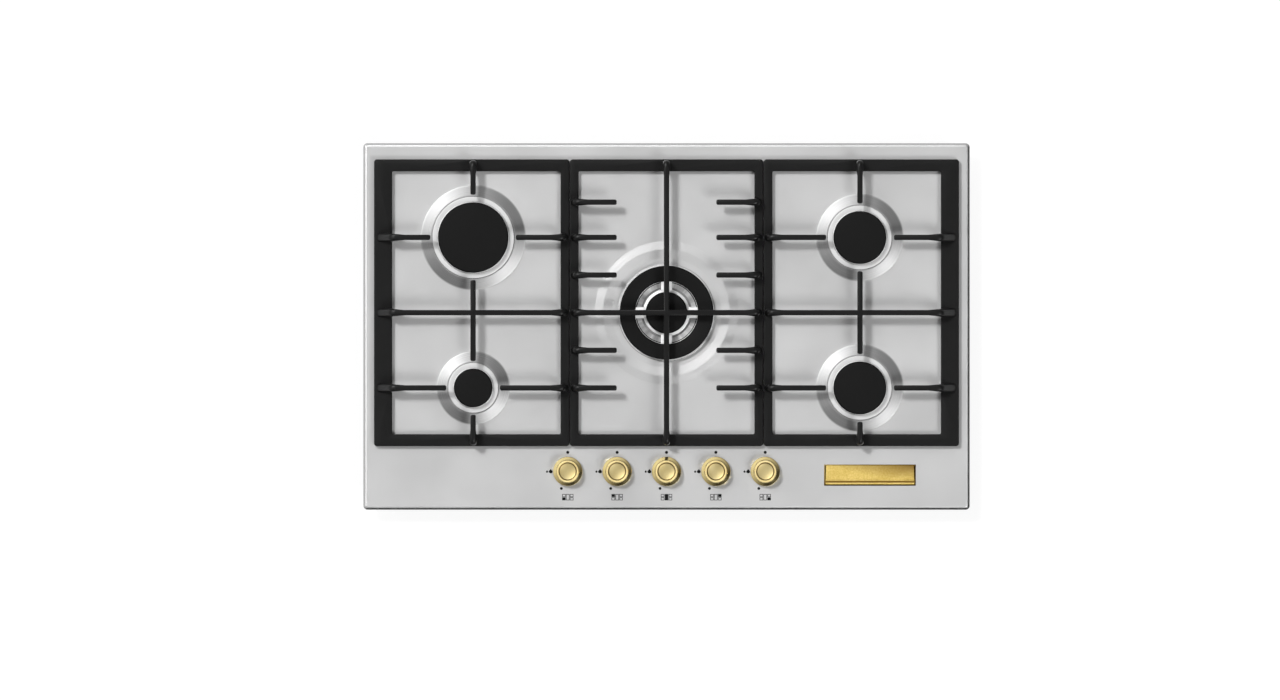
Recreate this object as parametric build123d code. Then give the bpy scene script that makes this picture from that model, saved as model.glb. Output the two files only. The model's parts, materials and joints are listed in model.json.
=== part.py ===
from build123d import *
from collections import namedtuple
from math import asin, cos, degrees, pi, radians, sin
import os

# Built-in gas cooktop. Millimetres. X runs to the right, Y to the back, Z up. The origin is the middle of the
# seat on the worktop: z = 0 is the worktop's top face. "Above the plate" is counted from plate_top.

# ---------------------------------------------------------------- driving dimensions

# top plate: one pressed sheet with a folded edge
plate_length = 860.0
plate_depth = 520.0
plate_rise = 8.0
plate_sheet = 1.0
plate_corner_r = 6.0
plate_edge_r = 3.5
skirt_gap = 0.5
stud_r = 2.0
stud_length = 7.0
stud_end_gap = 134.0

# foam seal under the rim
seal_width = 10.0
seal_margin = 0.3

# bottom casing: a folded tray with an outward flange and two notched rear corners
casing_side_inset = 30.0
casing_end_inset = 34.0
casing_drop = 45.0
casing_sheet = 0.8
casing_flange = 12.0
notch_length = 60.0
notch_depth = 40.0
vent_length = 34.0
vent_width = 4.0
vent_pitch = 12.0
vent_count = 9
vent_column = 90.0
vent_row = 40.0

# fasteners, and how far a cut runs past the face that it opens
nut_flats = 7.0
nut_height = 3.2
hole_clearance = 0.2
thread_clearance = 0.05
screw_head_r = 4.5
screw_head_height = 3.0
cut_margin = 1.0

# pan supports
supports_side_margin = 15.4
supports_rear_margin = 23.1
control_strip_depth = 90.3
middle_support_length = 274.0
support_gap = 0.8
frame_corner_r = 4.0
frame_inner_r = 2.5
frame_edge_r = 1.2
end_bar_width = 17.0
outer_bar_width = 25.7
inner_bar_width = 12.4
foot_height = 4.0
frame_height = 8.0
pan_height = 40.0
finger_width = 7.6
finger_depth = 10.0
finger_tip_r = 3.0
knuckle_width = 11.0
knuckle_inset = 1.0
knuckle_sink = 1.0
leg_top_length = 14.0
end_leg_lean = 2.0
inner_leg_lean = 6.0
outer_leg_lean = 24.0
short_finger_length = 66.5
rear_short_finger_gap = 49.9
foot_r = 5.0
foot_stem_r = 2.4
foot_stem_length = 4.0

# burner places, from the edges of the pan supports
column_margin = 140.6
rear_row_margin = 110.8
front_row_margin = 82.6

# corner burners
rapid_cap_r = 50.0
medium_cap_r = 37.5
small_cap_r = 27.5
boss_rise = 4.0
boss_margin = 1.2
boss_slope_width = 14.0
boss_foot_round = 8.0
boss_top_round = 2.0
finger_cap_gap = 10.5

# burner cups
flange_overhang = 8.5
flange_thickness = 2.0
flange_land = 7.0
neck_wall = 2.0
neck_clearance = 0.3
neck_depth = 8.0
well_r = 10.5
well_wall = 2.5
cup_floor_gap = 4.2
cup_block_height = 12.0
stub_r = 5.0
stub_length = 8.0
air_window_height = 10.0
air_window_width = 9.0
injector_r = 3.0
injector_head_r = 4.5
injector_head_height = 6.0
injector_orifice_r = 0.6
lock_ring_width = 7.0
lock_ring_height = 3.0

# crowns and caps of the corner burners
crown_shoulder = 1.5
crown_shoulder_height = 3.0
crown_height = 7.0
port_ring_inset = 2.0
crown_wall = 5.0
crown_floor = 2.0
venturi_r = 8.0
venturi_wall = 2.0
venturi_depth = 24.0
collar_clearance = 0.3
collar_depth = 8.0
port_width = 2.0
port_height = 4.0
port_pitch = 8.0
cap_thickness = 4.0
cap_bevel = 1.5
cap_lip_height = 3.0
cap_lip_wall = 3.0
cap_lip_clearance = 0.5

# triple burner
triple_cap_r = 66.5
triple_cap_bore_r = 44.5
triple_inner_cap_r = 29.5
triple_flange_r = 69.0
triple_crown_height = 8.0
triple_inner_rise = 3.0
triple_ring_wall = 3.0
triple_slope_foot_r = 34.5
triple_slope_drop = 2.0
triple_slope_height = 2.0
triple_hub_r = 32.0
triple_hub_height = 6.0
triple_hub_wall = 3.5
bridge_width = 16.0
bridge_height = 7.0
triple_cap_thickness = 4.0
triple_cap_fall = 1.5
triple_cap_bevel = 1.4
triple_ring_bevel = 1.0
ridge_inner_r = 76.0
ridge_inner_slope = 14.0
ridge_outer_slope = 14.5
ridge_rise = 2.6
ridge_round = 20.0

# electrodes and temperature sensors beside each crown
electrode_r = 2.8
sensor_r = 2.0
probe_gap = 0.9
probe_hole_clearance = 0.4
pocket_clearance = 1.4
pocket_wall = 1.8
probe_low = -6.0
electrode_pin_r = 0.8
electrode_pin_length = 2.0
probe_cap_gap = 2.0
probe_turn = 25.0
triple_electrode_angle = 90.0
triple_sensor_angle = -60.0

# knobs, spindles and taps
knob_count = 5
knob_pitch = 70.0
knob_row_margin = 54.5
knob_r = 21.0
knob_waist_r = 17.6
knob_rim_r = 14.6
knob_dish_r = 13.2
knob_gap = 5.0
knob_height = 21.0
knob_bead_height = 8.0
knob_bead_bulge = 1.8
knob_rim_bulge = 0.6
knob_shoulder_drop = 3.0
knob_dish_depth = 2.2
knob_wall = 3.0
spindle_r = 3.0
spindle_flat = 0.9
spindle_flat_length = 12.0
spindle_fit = 0.05
spindle_in_knob = 14.0
push_travel = 4.0
push_ring_r = 6.5
push_ring_low = 6.0
push_tab_reach = 16.0
push_tab_width = 5.0
push_tab_thickness = 1.5
seat_gap = 0.2
knob_hole_r = 8.0
knob_seal_r = 11.0
knob_seal_thickness = 1.2
knob_seal_lip_r = 9.5
ring_clearance = 0.3
tap_r = 9.5
tap_top = -4.0
tap_height = 18.0
tap_bore_depth = 14.0
tap_port_z = -13.0
tap_nozzle_r = 4.5
tap_nozzle_length = 10.0
saddle_width = 18.0
saddle_rise = 1.0
saddle_overlap = 3.0
valve_r = 6.0
valve_length = 22.0
valve_socket_depth = 4.0
switch_size = 5.0
switch_length = 8.0
switch_button_r = 1.2
switch_button_height = 1.0
switch_travel_gap = 0.3

# gas pipes
manifold_r = 7.0
manifold_wall = 1.5
manifold_floor_gap = 7.2
manifold_overrun = 24.0
manifold_bend_r = 25.0
manifold_bracket_length = 10.0
manifold_bracket_width = 20.0
inlet_thread_r = 10.4775
inlet_thread_length = 15.0
inlet_hex_flats = 27.0
inlet_hex_length = 4.0
inlet_neck_length = 14.0
tube_r = 3.0
tube_wall = 0.8
tube_block_height = 6.0
tube_bend_r = 10.0
tube_drop_run = 14.0
front_lane_gap = 55.5
rear_lane_gap = 85.5
rear_tube_gap = 59.0

# electrical parts
lead_r = 0.9
lead_floor_gap = 3.8
lead_bend_r = 4.0
lead_start = 8.0
lead_step = 16.0
lead_lane_shift = 10.0
lead_overlap = 1.0
wire_r = 1.2
wire_bend_r = 6.0
module_length = 58.0
module_depth = 38.0
module_height = 22.0
module_wall_gap = 7.0
module_corner_r = 2.0
port_step = 7.0
triple_wire_lane = 82.0
gland_bore_r = 3.6
gland_r = 8.0
gland_thread_r = 6.0
gland_length = 10.0
gland_bevel = 2.0
gland_floor_gap = 16.2

# clamp brackets under the worktop
worktop_thickness = 32.0
bracket_end_gap = 120.0
bracket_width = 24.0
bracket_sheet = 2.0
bracket_reach = 29.0
bracket_height = 22.0
bracket_screw_height = 13.0

# badge plate
badge_length = 130.0
badge_depth = 30.0
badge_thickness = 2.0
badge_bevel = 1.2
badge_side_margin = 76.6
badge_front_margin = 34.2
badge_ridge_width = 4.0
badge_ridge_height = 0.8
badge_ridge_inset = 3.0

# ---------------------------------------------------------------- derived places

plate_top = plate_rise
plate_under = plate_top - plate_sheet
ridge_crest_r = ridge_inner_r + ridge_inner_slope
ridge_outer_r = ridge_crest_r + ridge_outer_slope
casing_length = plate_length - 2 * casing_side_inset
casing_depth = plate_depth - 2 * casing_end_inset
casing_bottom = -casing_drop
casing_floor = casing_bottom + casing_sheet
stud_pitch = casing_length / 2 - stud_end_gap
bracket_x = casing_length / 2 - bracket_end_gap
notch_wall_y = casing_depth / 2 - notch_depth
notch_middle_x = casing_length / 2 - notch_length / 2
pan_top = plate_top + pan_height
frame_low = plate_top + foot_height
frame_top = frame_low + frame_height
supports_length = plate_length - 2 * supports_side_margin
supports_rear = plate_depth / 2 - supports_rear_margin
supports_front = control_strip_depth - plate_depth / 2
supports_depth = supports_rear - supports_front
supports_middle_y = (supports_rear + supports_front) / 2
side_support_length = (supports_length - middle_support_length) / 2 - support_gap
burner_column = supports_length / 2 - column_margin
rear_row_y = supports_rear - rear_row_margin
front_row_y = supports_front + front_row_margin
middle_row_y = (rear_row_y + front_row_y) / 2
half_pitch = (rear_row_y - middle_row_y) / 2
knob_row_y = knob_row_margin - plate_depth / 2
knob_low = plate_top + knob_gap
knob_top = knob_low + knob_height
spindle_top = knob_low + spindle_in_knob
spindle_low = tap_top - tap_bore_depth + push_travel + seat_gap
bracket_foot_z = -worktop_thickness - bracket_sheet
cup_bottom = casing_floor + cup_floor_gap
tube_z = cup_bottom + tube_block_height
manifold_z = casing_floor + manifold_floor_gap + manifold_r
lead_z = casing_floor + lead_floor_gap + lead_r
gland_z = casing_floor + gland_floor_gap
front_lane_y = knob_row_y + front_lane_gap
rear_lane_y = knob_row_y + rear_lane_gap
rear_tube_x = burner_column - rear_tube_gap
badge_x = plate_length / 2 - badge_side_margin - badge_length / 2
badge_y = badge_front_margin + badge_depth / 2 - plate_depth / 2
switch_low = tap_port_z + valve_r
switch_top = plate_top - push_ring_low - push_travel - switch_travel_gap - switch_button_height

Burner = namedtuple("Burner", "name x y cap_r flange_r seat tap electrode_angle sensor_angle")


def corner_burner(name, side, row_y, cap_r, tap):
    """A corner burner: its probes stand on the side that faces the cooktop's middle."""
    turn = probe_turn if side < 0 else 180 - probe_turn
    x = side * burner_column
    return Burner(name, x, row_y, cap_r, cap_r + flange_overhang, plate_top + boss_rise, tap, turn, -turn)


rapid = corner_burner("rapid", -1, rear_row_y, rapid_cap_r, 1)
small = corner_burner("small", -1, front_row_y, small_cap_r, 0)
medium_rear = corner_burner("medium_rear", 1, rear_row_y, medium_cap_r, 3)
medium_front = corner_burner("medium_front", 1, front_row_y, medium_cap_r, 4)
triple = Burner(
    "triple",
    0.0,
    middle_row_y,
    triple_cap_r,
    triple_flange_r,
    plate_top,
    2,
    triple_electrode_angle,
    triple_sensor_angle,
)
corner_burners = [rapid, small, medium_rear, medium_front]
burners = corner_burners + [triple]
knob_xs = [(i - (knob_count - 1) / 2) * knob_pitch for i in range(knob_count)]


# ---------------------------------------------------------------- shape helpers

def turned(points, rounds=()):
    """Solid of revolution about Z from (radius, height) corners; rounds lists (corner number, radius)."""
    face = make_face(Polyline(*points, close=True))
    for number, radius in rounds:
        corner = face.vertices().sort_by_distance(Vector(*points[number]))[0]
        face = fillet(corner, radius)
    return revolve(Plane.XZ * face, Axis.Z)


def rod(radius, low, high, x=0.0, y=0.0):
    """Upright cylinder between two heights."""
    return Pos(x, y, (low + high) / 2) * Cylinder(radius, high - low)


def block(x_range, y_range, z_range):
    """Box between the given lowest and highest X, Y and Z."""
    sizes = [high - low for low, high in (x_range, y_range, z_range)]
    middles = [(high + low) / 2 for low, high in (x_range, y_range, z_range)]
    return Pos(*middles) * Box(*sizes)


def hexagon(flats, low, high):
    """Upright hexagonal prism across the given flats."""
    return Pos(0, 0, low) * extrude(RegularPolygon(flats / 2, 6, major_radius=False), high - low)


def along_y(shape):
    """Turns a shape built along +Z so that it runs along +Y."""
    return Rot(-90, 0, 0) * shape


def along_x(shape):
    """Turns a shape built along +Z so that it runs along +X."""
    return Rot(0, 90, 0) * shape


def round_bar(points, radius, bend_r, bore_r=0.0):
    """Round bar or tube along straight runs joined by tangent arcs."""
    path = FilletPolyline(*points, radius=bend_r) if len(points) > 2 else Line(*points)
    section = Circle(radius) - Circle(bore_r) if bore_r else Circle(radius)
    return sweep((path ^ 0) * section, path)


def group(shapes):
    """Several loose solids kept together."""
    return Compound([solid for shape in shapes for solid in shape.solids()])


def save(name, shape):
    """Writes one sub-part."""
    export_step(shape, f"parts/{name}.step")


# ---------------------------------------------------------------- top plate, seal, badge

def plate_hole_r(burner):
    return burner.flange_r - flange_land


def neck_r(burner):
    return plate_hole_r(burner) - neck_clearance


def boss(burner):
    """Raised boss round a corner burner: a flat top and one sloped side with soft ends."""
    top_r = burner.flange_r + boss_margin
    slope_foot_r = top_r + boss_slope_width
    land_r = slope_foot_r + boss_foot_round
    points = [
        (0, -plate_sheet / 2),
        (land_r, -plate_sheet / 2),
        (land_r, 0),
        (slope_foot_r, 0),
        (top_r, boss_rise),
        (0, boss_rise),
    ]
    return Pos(burner.x, burner.y, 0) * turned(points, [(3, boss_foot_round), (4, boss_top_round)])


def ridge():
    """Raised ring round the triple burner, with a rounded crest."""
    points = [
        (ridge_inner_r - ridge_round, -plate_sheet / 2),
        (ridge_outer_r + ridge_round, -plate_sheet / 2),
        (ridge_outer_r + ridge_round, 0),
        (ridge_outer_r, 0),
        (ridge_crest_r, ridge_rise),
        (ridge_inner_r, 0),
        (ridge_inner_r - ridge_round, 0),
    ]
    rounds = [(3, ridge_round), (4, ridge_round), (5, ridge_round)]
    return Pos(triple.x, triple.y, 0) * turned(points, rounds)


def rounded_block(length, depth, low, high, corner_r, top_r):
    """Block with rounded upright edges and a rounded top edge."""
    solid = Pos(0, 0, low) * extrude(RectangleRounded(length, depth, corner_r), high - low)
    return fillet(solid.faces().sort_by(Axis.Z)[-1].edges(), top_r)


def stud_places():
    """Places of the welded studs, on the casing's flange outside its walls."""
    edge_y = casing_depth / 2 + casing_flange / 2
    edge_x = casing_length / 2 + casing_flange / 2
    long_sides = [(x, y) for x in (-stud_pitch, 0, stud_pitch) for y in (-edge_y, edge_y)]
    return long_sides + [(-edge_x, 0), (edge_x, 0)]


def make_top_plate():
    outer = rounded_block(plate_length, plate_depth, skirt_gap, plate_top, plate_corner_r, plate_edge_r)
    cavity = rounded_block(
        plate_length - 2 * plate_sheet,
        plate_depth - 2 * plate_sheet,
        -plate_rise,
        plate_under,
        plate_corner_r - plate_sheet,
        plate_edge_r - plate_sheet,
    )
    pressings = [boss(burner) for burner in corner_burners] + [ridge()]
    raised = [Pos(0, 0, plate_top) * pressing for pressing in pressings]
    hollows = [Pos(0, 0, plate_under) * pressing for pressing in pressings]
    plate = (outer + raised) - (cavity + hollows)
    high = plate_top + boss_rise + ridge_rise
    holes = [rod(plate_hole_r(b), 0, high, b.x, b.y) for b in burners]
    holes += [rod(knob_hole_r, 0, high, x, knob_row_y) for x in knob_xs]
    studs = [rod(stud_r, plate_under - stud_length, plate_under, x, y) for x, y in stud_places()]
    return (plate - holes) + studs


def make_rim_seal():
    margin = 2 * (plate_edge_r + seal_margin)
    length = plate_length - margin
    depth = plate_depth - margin
    outer = RectangleRounded(length, depth, plate_corner_r - plate_sheet)
    inner = Rectangle(length - 2 * seal_width, depth - 2 * seal_width)
    return extrude(outer - inner, plate_under)


def make_badge_plate():
    body = Pos(0, 0, badge_thickness / 2) * Box(badge_length, badge_depth, badge_thickness)
    body = chamfer(body.faces().sort_by(Axis.Z)[-1].edges(), badge_bevel)
    ridge_y = -badge_depth / 2 + badge_ridge_inset + badge_ridge_width / 2
    ridge_length = badge_length - 2 * badge_ridge_inset
    bead = Pos(0, ridge_y, badge_thickness + badge_ridge_height / 2) * Box(
        ridge_length, badge_ridge_width, badge_ridge_height
    )
    bead = chamfer(bead.faces().sort_by(Axis.Z)[-1].edges(), badge_ridge_height / 2)
    return Pos(badge_x, badge_y, plate_top) * (body + bead)


# ---------------------------------------------------------------- bottom casing and its fasteners

def casing_outline(shrink=0.0):
    """Plan of the casing: a rectangle whose two rear corners are notched."""
    outline = Rectangle(casing_length - 2 * shrink, casing_depth - 2 * shrink)
    for side in (-1, 1):
        corner = Pos(side * notch_middle_x, casing_depth / 2 - notch_depth / 2)
        outline -= corner * Rectangle(notch_length + 2 * shrink, notch_depth + 2 * shrink)
    return outline


def vents():
    """Two fields of slots in the casing's floor, left and right of the middle."""
    slot = extrude(SlotOverall(vent_length, vent_width), casing_sheet + 2 * cut_margin)
    rows = [(i - (vent_count - 1) / 2) * vent_pitch for i in range(vent_count)]
    return [
        Pos(side * vent_column, vent_row + row, casing_bottom - cut_margin) * slot
        for side in (-1, 1)
        for row in rows
    ]


def make_bottom_casing():
    wall = Pos(0, 0, casing_bottom) * extrude(casing_outline(), plate_under - casing_bottom)
    flange = Pos(0, 0, plate_under - casing_sheet) * extrude(
        Rectangle(casing_length + 2 * casing_flange, casing_depth + 2 * casing_flange), casing_sheet
    )
    hollow = Pos(0, 0, casing_floor) * extrude(casing_outline(casing_sheet), plate_under - casing_floor)
    tray = (wall + flange) - hollow
    stud_holes = [rod(stud_r + hole_clearance, 0, plate_top, x, y) for x, y in stud_places()]
    inlet_hole = Pos(notch_middle_x, notch_wall_y, manifold_z) * along_y(
        rod(inlet_thread_r + hole_clearance, -casing_sheet - cut_margin, cut_margin)
    )
    gland_hole = Pos(-notch_middle_x, notch_wall_y, gland_z) * along_y(
        rod(gland_thread_r + hole_clearance, -casing_sheet - cut_margin, cut_margin)
    )
    screw_holes = [bracket_screw_hole(x, side) for x, side in bracket_places()]
    return tray - stud_holes - vents() - [inlet_hole, gland_hole] - screw_holes


def make_casing_nuts():
    top = plate_under - casing_sheet
    nut = hexagon(nut_flats, top - nut_height, top) - rod(stud_r + thread_clearance, 0, plate_top)
    return group([Pos(x, y, 0) * nut for x, y in stud_places()])


# ---------------------------------------------------------------- clamp brackets

def bracket_places():
    return [(x, side) for x in (-bracket_x, bracket_x) for side in (-1, 1)]


def bracket_screw_hole(x, side):
    reach = bracket_sheet + cut_margin
    hole = along_y(rod(stud_r + hole_clearance, -reach, reach))
    return Pos(x, side * casing_depth / 2, bracket_foot_z + bracket_screw_height) * hole


def turned_to(side, shape):
    """A shape made for the rear wall, turned to the front wall where side is -1."""
    return Rot(0, 0, 0 if side > 0 else 180) * shape


def make_clamp_brackets():
    """Angle strips: one leg on the casing's wall, the other reaching out under the worktop."""
    wall_y = casing_depth / 2
    across = (-bracket_width / 2, bracket_width / 2)
    leg = block(across, (wall_y, wall_y + bracket_sheet), (bracket_foot_z, bracket_foot_z + bracket_height))
    foot = block(across, (wall_y, wall_y + bracket_reach), (bracket_foot_z, bracket_foot_z + bracket_sheet))
    bracket = (leg + foot) - bracket_screw_hole(0, 1)
    return group([Pos(x, 0, 0) * turned_to(side, bracket) for x, side in bracket_places()])


def make_clamp_screws():
    """Screws through the brackets and the casing's wall, each with its nut inside the casing."""
    shank = rod(stud_r, -casing_sheet, bracket_sheet)
    head = rod(screw_head_r, bracket_sheet, bracket_sheet + screw_head_height)
    nut = hexagon(nut_flats, -casing_sheet - nut_height, -casing_sheet)
    screw = Pos(0, casing_depth / 2, bracket_foot_z + bracket_screw_height) * along_y(shank + head + nut)
    return group([Pos(x, 0, 0) * turned_to(side, screw) for x, side in bracket_places()])


# ---------------------------------------------------------------- pan supports

Bar = namedtuple("Bar", "width lean inset")
end_bar = Bar(end_bar_width, end_leg_lean, knuckle_inset)
inner_bar = Bar(inner_bar_width, inner_leg_lean, knuckle_inset)
outer_bar = Bar(outer_bar_width, outer_leg_lean, 3 * knuckle_inset)


def finger(bar, length, free_tip=True):
    """A finger that starts at a bar's outer edge and runs along +X: a leaning leg, then a level bar."""
    low = pan_top - finger_depth
    level = block((bar.lean, length), (-finger_width / 2, finger_width / 2), (low, pan_top))
    if free_tip:
        tip_edges = level.edges().filter_by(Axis.Z).group_by(Axis.X)[-1]
        level = fillet(tip_edges, finger_tip_r)
    foot_low = bar.inset
    foot_high = bar.width - knuckle_inset / 2
    base = Pos((foot_low + foot_high) / 2, 0, frame_top - knuckle_sink) * Rectangle(
        foot_high - foot_low, knuckle_width
    )
    head = Pos(bar.lean + leg_top_length / 2, 0, pan_top) * Rectangle(leg_top_length, finger_width)
    return level + loft([base, head])


def placed(shape, x, y, turn):
    return Pos(x, y, 0) * Rot(0, 0, turn) * shape


def frame(left, right, left_bar, right_bar):
    """The support's flat rectangular frame, with its rounded top edges and the holes for its feet."""
    middle_x = (left + right) / 2
    outer = Pos(middle_x, supports_middle_y) * RectangleRounded(
        right - left, supports_depth, frame_corner_r
    )
    window_left = left + left_bar.width
    window_right = right - right_bar.width
    window_depth = supports_depth - 2 * end_bar_width
    window = Pos((window_left + window_right) / 2, supports_middle_y) * RectangleRounded(
        window_right - window_left, window_depth, frame_inner_r
    )
    ring = Pos(0, 0, frame_low) * extrude(outer - window, frame_height)
    ring = fillet(ring.faces().sort_by(Axis.Z)[-1].edges(), frame_edge_r)
    bore_r = foot_stem_r + hole_clearance / 2
    bores = [
        rod(bore_r, frame_low, frame_low + foot_stem_length, x, y)
        for x, y in foot_places(left, right, left_bar, right_bar)
    ]
    return ring - bores


def foot_places(left, right, left_bar, right_bar):
    xs = (left + left_bar.width / 2, right - right_bar.width / 2)
    ys = (supports_front + end_bar_width / 2, supports_rear - end_bar_width / 2)
    return [(x, y) for x in xs for y in ys]


def make_feet(left, right, left_bar, right_bar):
    foot = rod(foot_r, plate_top, frame_low) + rod(foot_stem_r, frame_low, frame_low + foot_stem_length)
    return group([Pos(x, y, 0) * foot for x, y in foot_places(left, right, left_bar, right_bar)])


def through_bar(x_low, x_high, low_bar, high_bar):
    """A bar that crosses the whole support along X, standing on a leg at each end; its halves overlap."""
    half = (x_high - x_low) / 2 + cut_margin
    first = placed(finger(low_bar, half, free_tip=False), x_low, 0, 0)
    second = placed(finger(high_bar, half, free_tip=False), x_high, 0, 180)
    return first + second


def burner_fingers(burner, outer_x, inner_x, end_y):
    """Three fingers that stop round a burner: from the outer bar, the inner bar and the end bar."""
    stop = burner.cap_r + finger_cap_gap
    side = 1 if inner_x > outer_x else -1
    end_side = 1 if end_y > burner.y else -1
    from_outer = finger(outer_bar, abs(burner.x - outer_x) - stop)
    from_inner = finger(inner_bar, abs(inner_x - burner.x) - stop)
    from_end = finger(end_bar, abs(end_y - burner.y) - stop)
    return [
        placed(from_outer, outer_x, burner.y, 0 if side > 0 else 180),
        placed(from_inner, inner_x, burner.y, 180 if side > 0 else 0),
        placed(from_end, burner.x, end_y, -90 * end_side),
    ]


def spine(rear, front):
    """The bar between a rear and a front burner, crossing the through bar."""
    y_high = rear.y - rear.cap_r - finger_cap_gap
    y_low = front.y + front.cap_r + finger_cap_gap
    bar = block(
        (rear.x - finger_width / 2, rear.x + finger_width / 2),
        (y_low, y_high),
        (pan_top - finger_depth, pan_top),
    )
    return fillet(bar.edges().filter_by(Axis.Z), finger_tip_r)


def support_edges(side):
    """Left and right edge of a support, and its bars: side is -1, 0 or 1."""
    half_middle = middle_support_length / 2
    if side == 0:
        return -half_middle, half_middle, inner_bar, inner_bar
    near = half_middle + support_gap
    far = near + side_support_length
    if side < 0:
        return -far, -near, outer_bar, inner_bar
    return near, far, inner_bar, outer_bar


def make_side_support(side, rear, front):
    left, right, left_bar, right_bar = support_edges(side)
    outer_x, inner_x = (left, right) if side < 0 else (right, left)
    pieces = [frame(left, right, left_bar, right_bar)]
    pieces.append(placed(through_bar(left, right, left_bar, right_bar), 0, middle_row_y, 0))
    pieces.append(spine(rear, front))
    pieces += burner_fingers(rear, outer_x, inner_x, supports_rear)
    pieces += burner_fingers(front, outer_x, inner_x, supports_front)
    return pieces[0] + pieces[1:]


def make_middle_support():
    left, right, left_bar, right_bar = support_edges(0)
    pieces = [frame(left, right, left_bar, right_bar)]
    pieces.append(placed(through_bar(left, right, left_bar, right_bar), 0, middle_row_y, 0))
    cross = through_bar(supports_front, supports_rear, end_bar, end_bar)
    pieces.append(placed(cross, 0, 0, 90))
    short = finger(inner_bar, short_finger_length)
    rows = [middle_row_y + step * half_pitch for step in (-2, -1, 1, 2)]
    rows.append(rear_row_y + rear_short_finger_gap)
    for y in rows:
        pieces.append(placed(short, left, y, 0))
        pieces.append(placed(short, right, y, 180))
    return pieces[0] + pieces[1:]


# ---------------------------------------------------------------- burners

def probe_radius(burner):
    """Distance of the electrode and the sensor from the burner's middle, inside the cup's neck."""
    return neck_r(burner) - neck_wall - probe_gap - electrode_r


def probe_place(burner, angle):
    reach = probe_radius(burner)
    return burner.x + reach * cos(radians(angle)), burner.y + reach * sin(radians(angle))


def probe_cuts(burner, extra, low, high):
    """Upright clearance cylinders round the electrode and the sensor, in the burner's own frame."""
    reach = probe_radius(burner)
    cuts = []
    for angle, radius in ((burner.electrode_angle, electrode_r), (burner.sensor_angle, sensor_r)):
        x = reach * cos(radians(angle))
        y = reach * sin(radians(angle))
        cuts.append(rod(radius + extra, low, high, x, y))
    return cuts


def make_cup(burner):
    """Burner cup: a flange on the plate, a neck in the plate's hole and a well down to the gas stub."""
    top = burner.seat + flange_thickness
    flange = rod(burner.flange_r, burner.seat, top)
    flange = chamfer(flange.faces().sort_by(Axis.Z)[-1].edges(), flange_thickness / 4)
    neck_low = burner.seat - neck_depth
    neck = rod(neck_r(burner), neck_low, burner.seat) - rod(neck_r(burner) - neck_wall, neck_low, burner.seat)
    well_outer_r = well_r + well_wall
    well = rod(well_outer_r, cup_bottom, burner.seat)
    block_top = cup_bottom + cup_block_height
    cup = flange + neck + well - rod(well_r, block_top, top)
    window_z = block_top + injector_head_height + air_window_height
    windows = [
        Rot(0, 0, turn) * Pos(well_outer_r, 0, window_z) * Box(
            2 * (well_wall + cut_margin), air_window_width, air_window_height
        )
        for turn in (0, 90, 180, 270)
    ]
    stub = stub_toward(burner, rod(stub_r, well_outer_r - well_wall, well_outer_r + stub_length))
    passage = stub_toward(burner, rod(tube_r - tube_wall, 0, well_outer_r + stub_length))
    seat = rod(injector_r, tube_z, block_top)
    cup = (cup + stub) - windows - passage - seat
    cup -= probe_cuts(burner, probe_hole_clearance, burner.seat, top)
    return Pos(burner.x, burner.y, 0) * cup


def stub_angle(burner):
    """Direction of the gas stub: to the middle for the rear burners, to the front for the others."""
    if burner.y == rear_row_y:
        return 0 if burner.x < 0 else 180
    return -90


def stub_toward(burner, shape):
    return Pos(0, 0, tube_z) * Rot(0, 0, stub_angle(burner)) * along_x(shape)


def make_lock_rings():
    """Ring nuts that pull the cups' necks up against the underside of the plate."""
    rings = []
    for burner in burners:
        inner_r = neck_r(burner) + thread_clearance
        top = burner.seat - plate_sheet
        ring = rod(inner_r + lock_ring_width, top - lock_ring_height, top)
        ring -= rod(inner_r, top - lock_ring_height, top)
        rings.append(Pos(burner.x, burner.y, 0) * ring)
    return group(rings)


def make_injectors():
    block_top = cup_bottom + cup_block_height
    stem = rod(injector_r - thread_clearance, tube_z, block_top)
    head = hexagon(2 * injector_head_r, block_top, block_top + injector_head_height)
    injector = stem + head - rod(injector_orifice_r, tube_z, block_top + injector_head_height)
    return group([Pos(b.x, b.y, 0) * injector for b in burners])


def misses_probes(burner, angle):
    """True where a flame port at this angle stays clear of the pockets of the electrode and the sensor."""
    pocket_r = electrode_r + pocket_clearance + pocket_wall
    half_gap = degrees(asin((pocket_r + port_width / 2) / probe_radius(burner)))
    turns = [(angle - other + 180) % 360 - 180 for other in (burner.electrode_angle, burner.sensor_angle)]
    return all(abs(turn) > half_gap for turn in turns)


def ports(outer_r, wall, top):
    """Radial flame ports through a ring wall, as (angle, cutting block)."""
    count = round(2 * pi * outer_r / port_pitch)
    cutter = Box(wall + 2 * cut_margin, port_width, port_height)
    angles = [360 * (number + 0.5) / count for number in range(count)]
    return [
        (angle, Rot(0, 0, angle) * Pos(outer_r - wall / 2, 0, top - port_height / 2) * cutter)
        for angle in angles
    ]


def venturi(seat_top):
    """Mixing tube under a crown, with the collar that centres it in the cup's well."""
    tube = rod(venturi_r, seat_top - venturi_depth, seat_top + crown_floor)
    collar = rod(well_r - collar_clearance, seat_top - collar_depth, seat_top + crown_floor)
    return tube + collar


def venturi_bore(seat_top):
    return rod(venturi_r - venturi_wall, seat_top - venturi_depth, seat_top + crown_floor)


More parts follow.
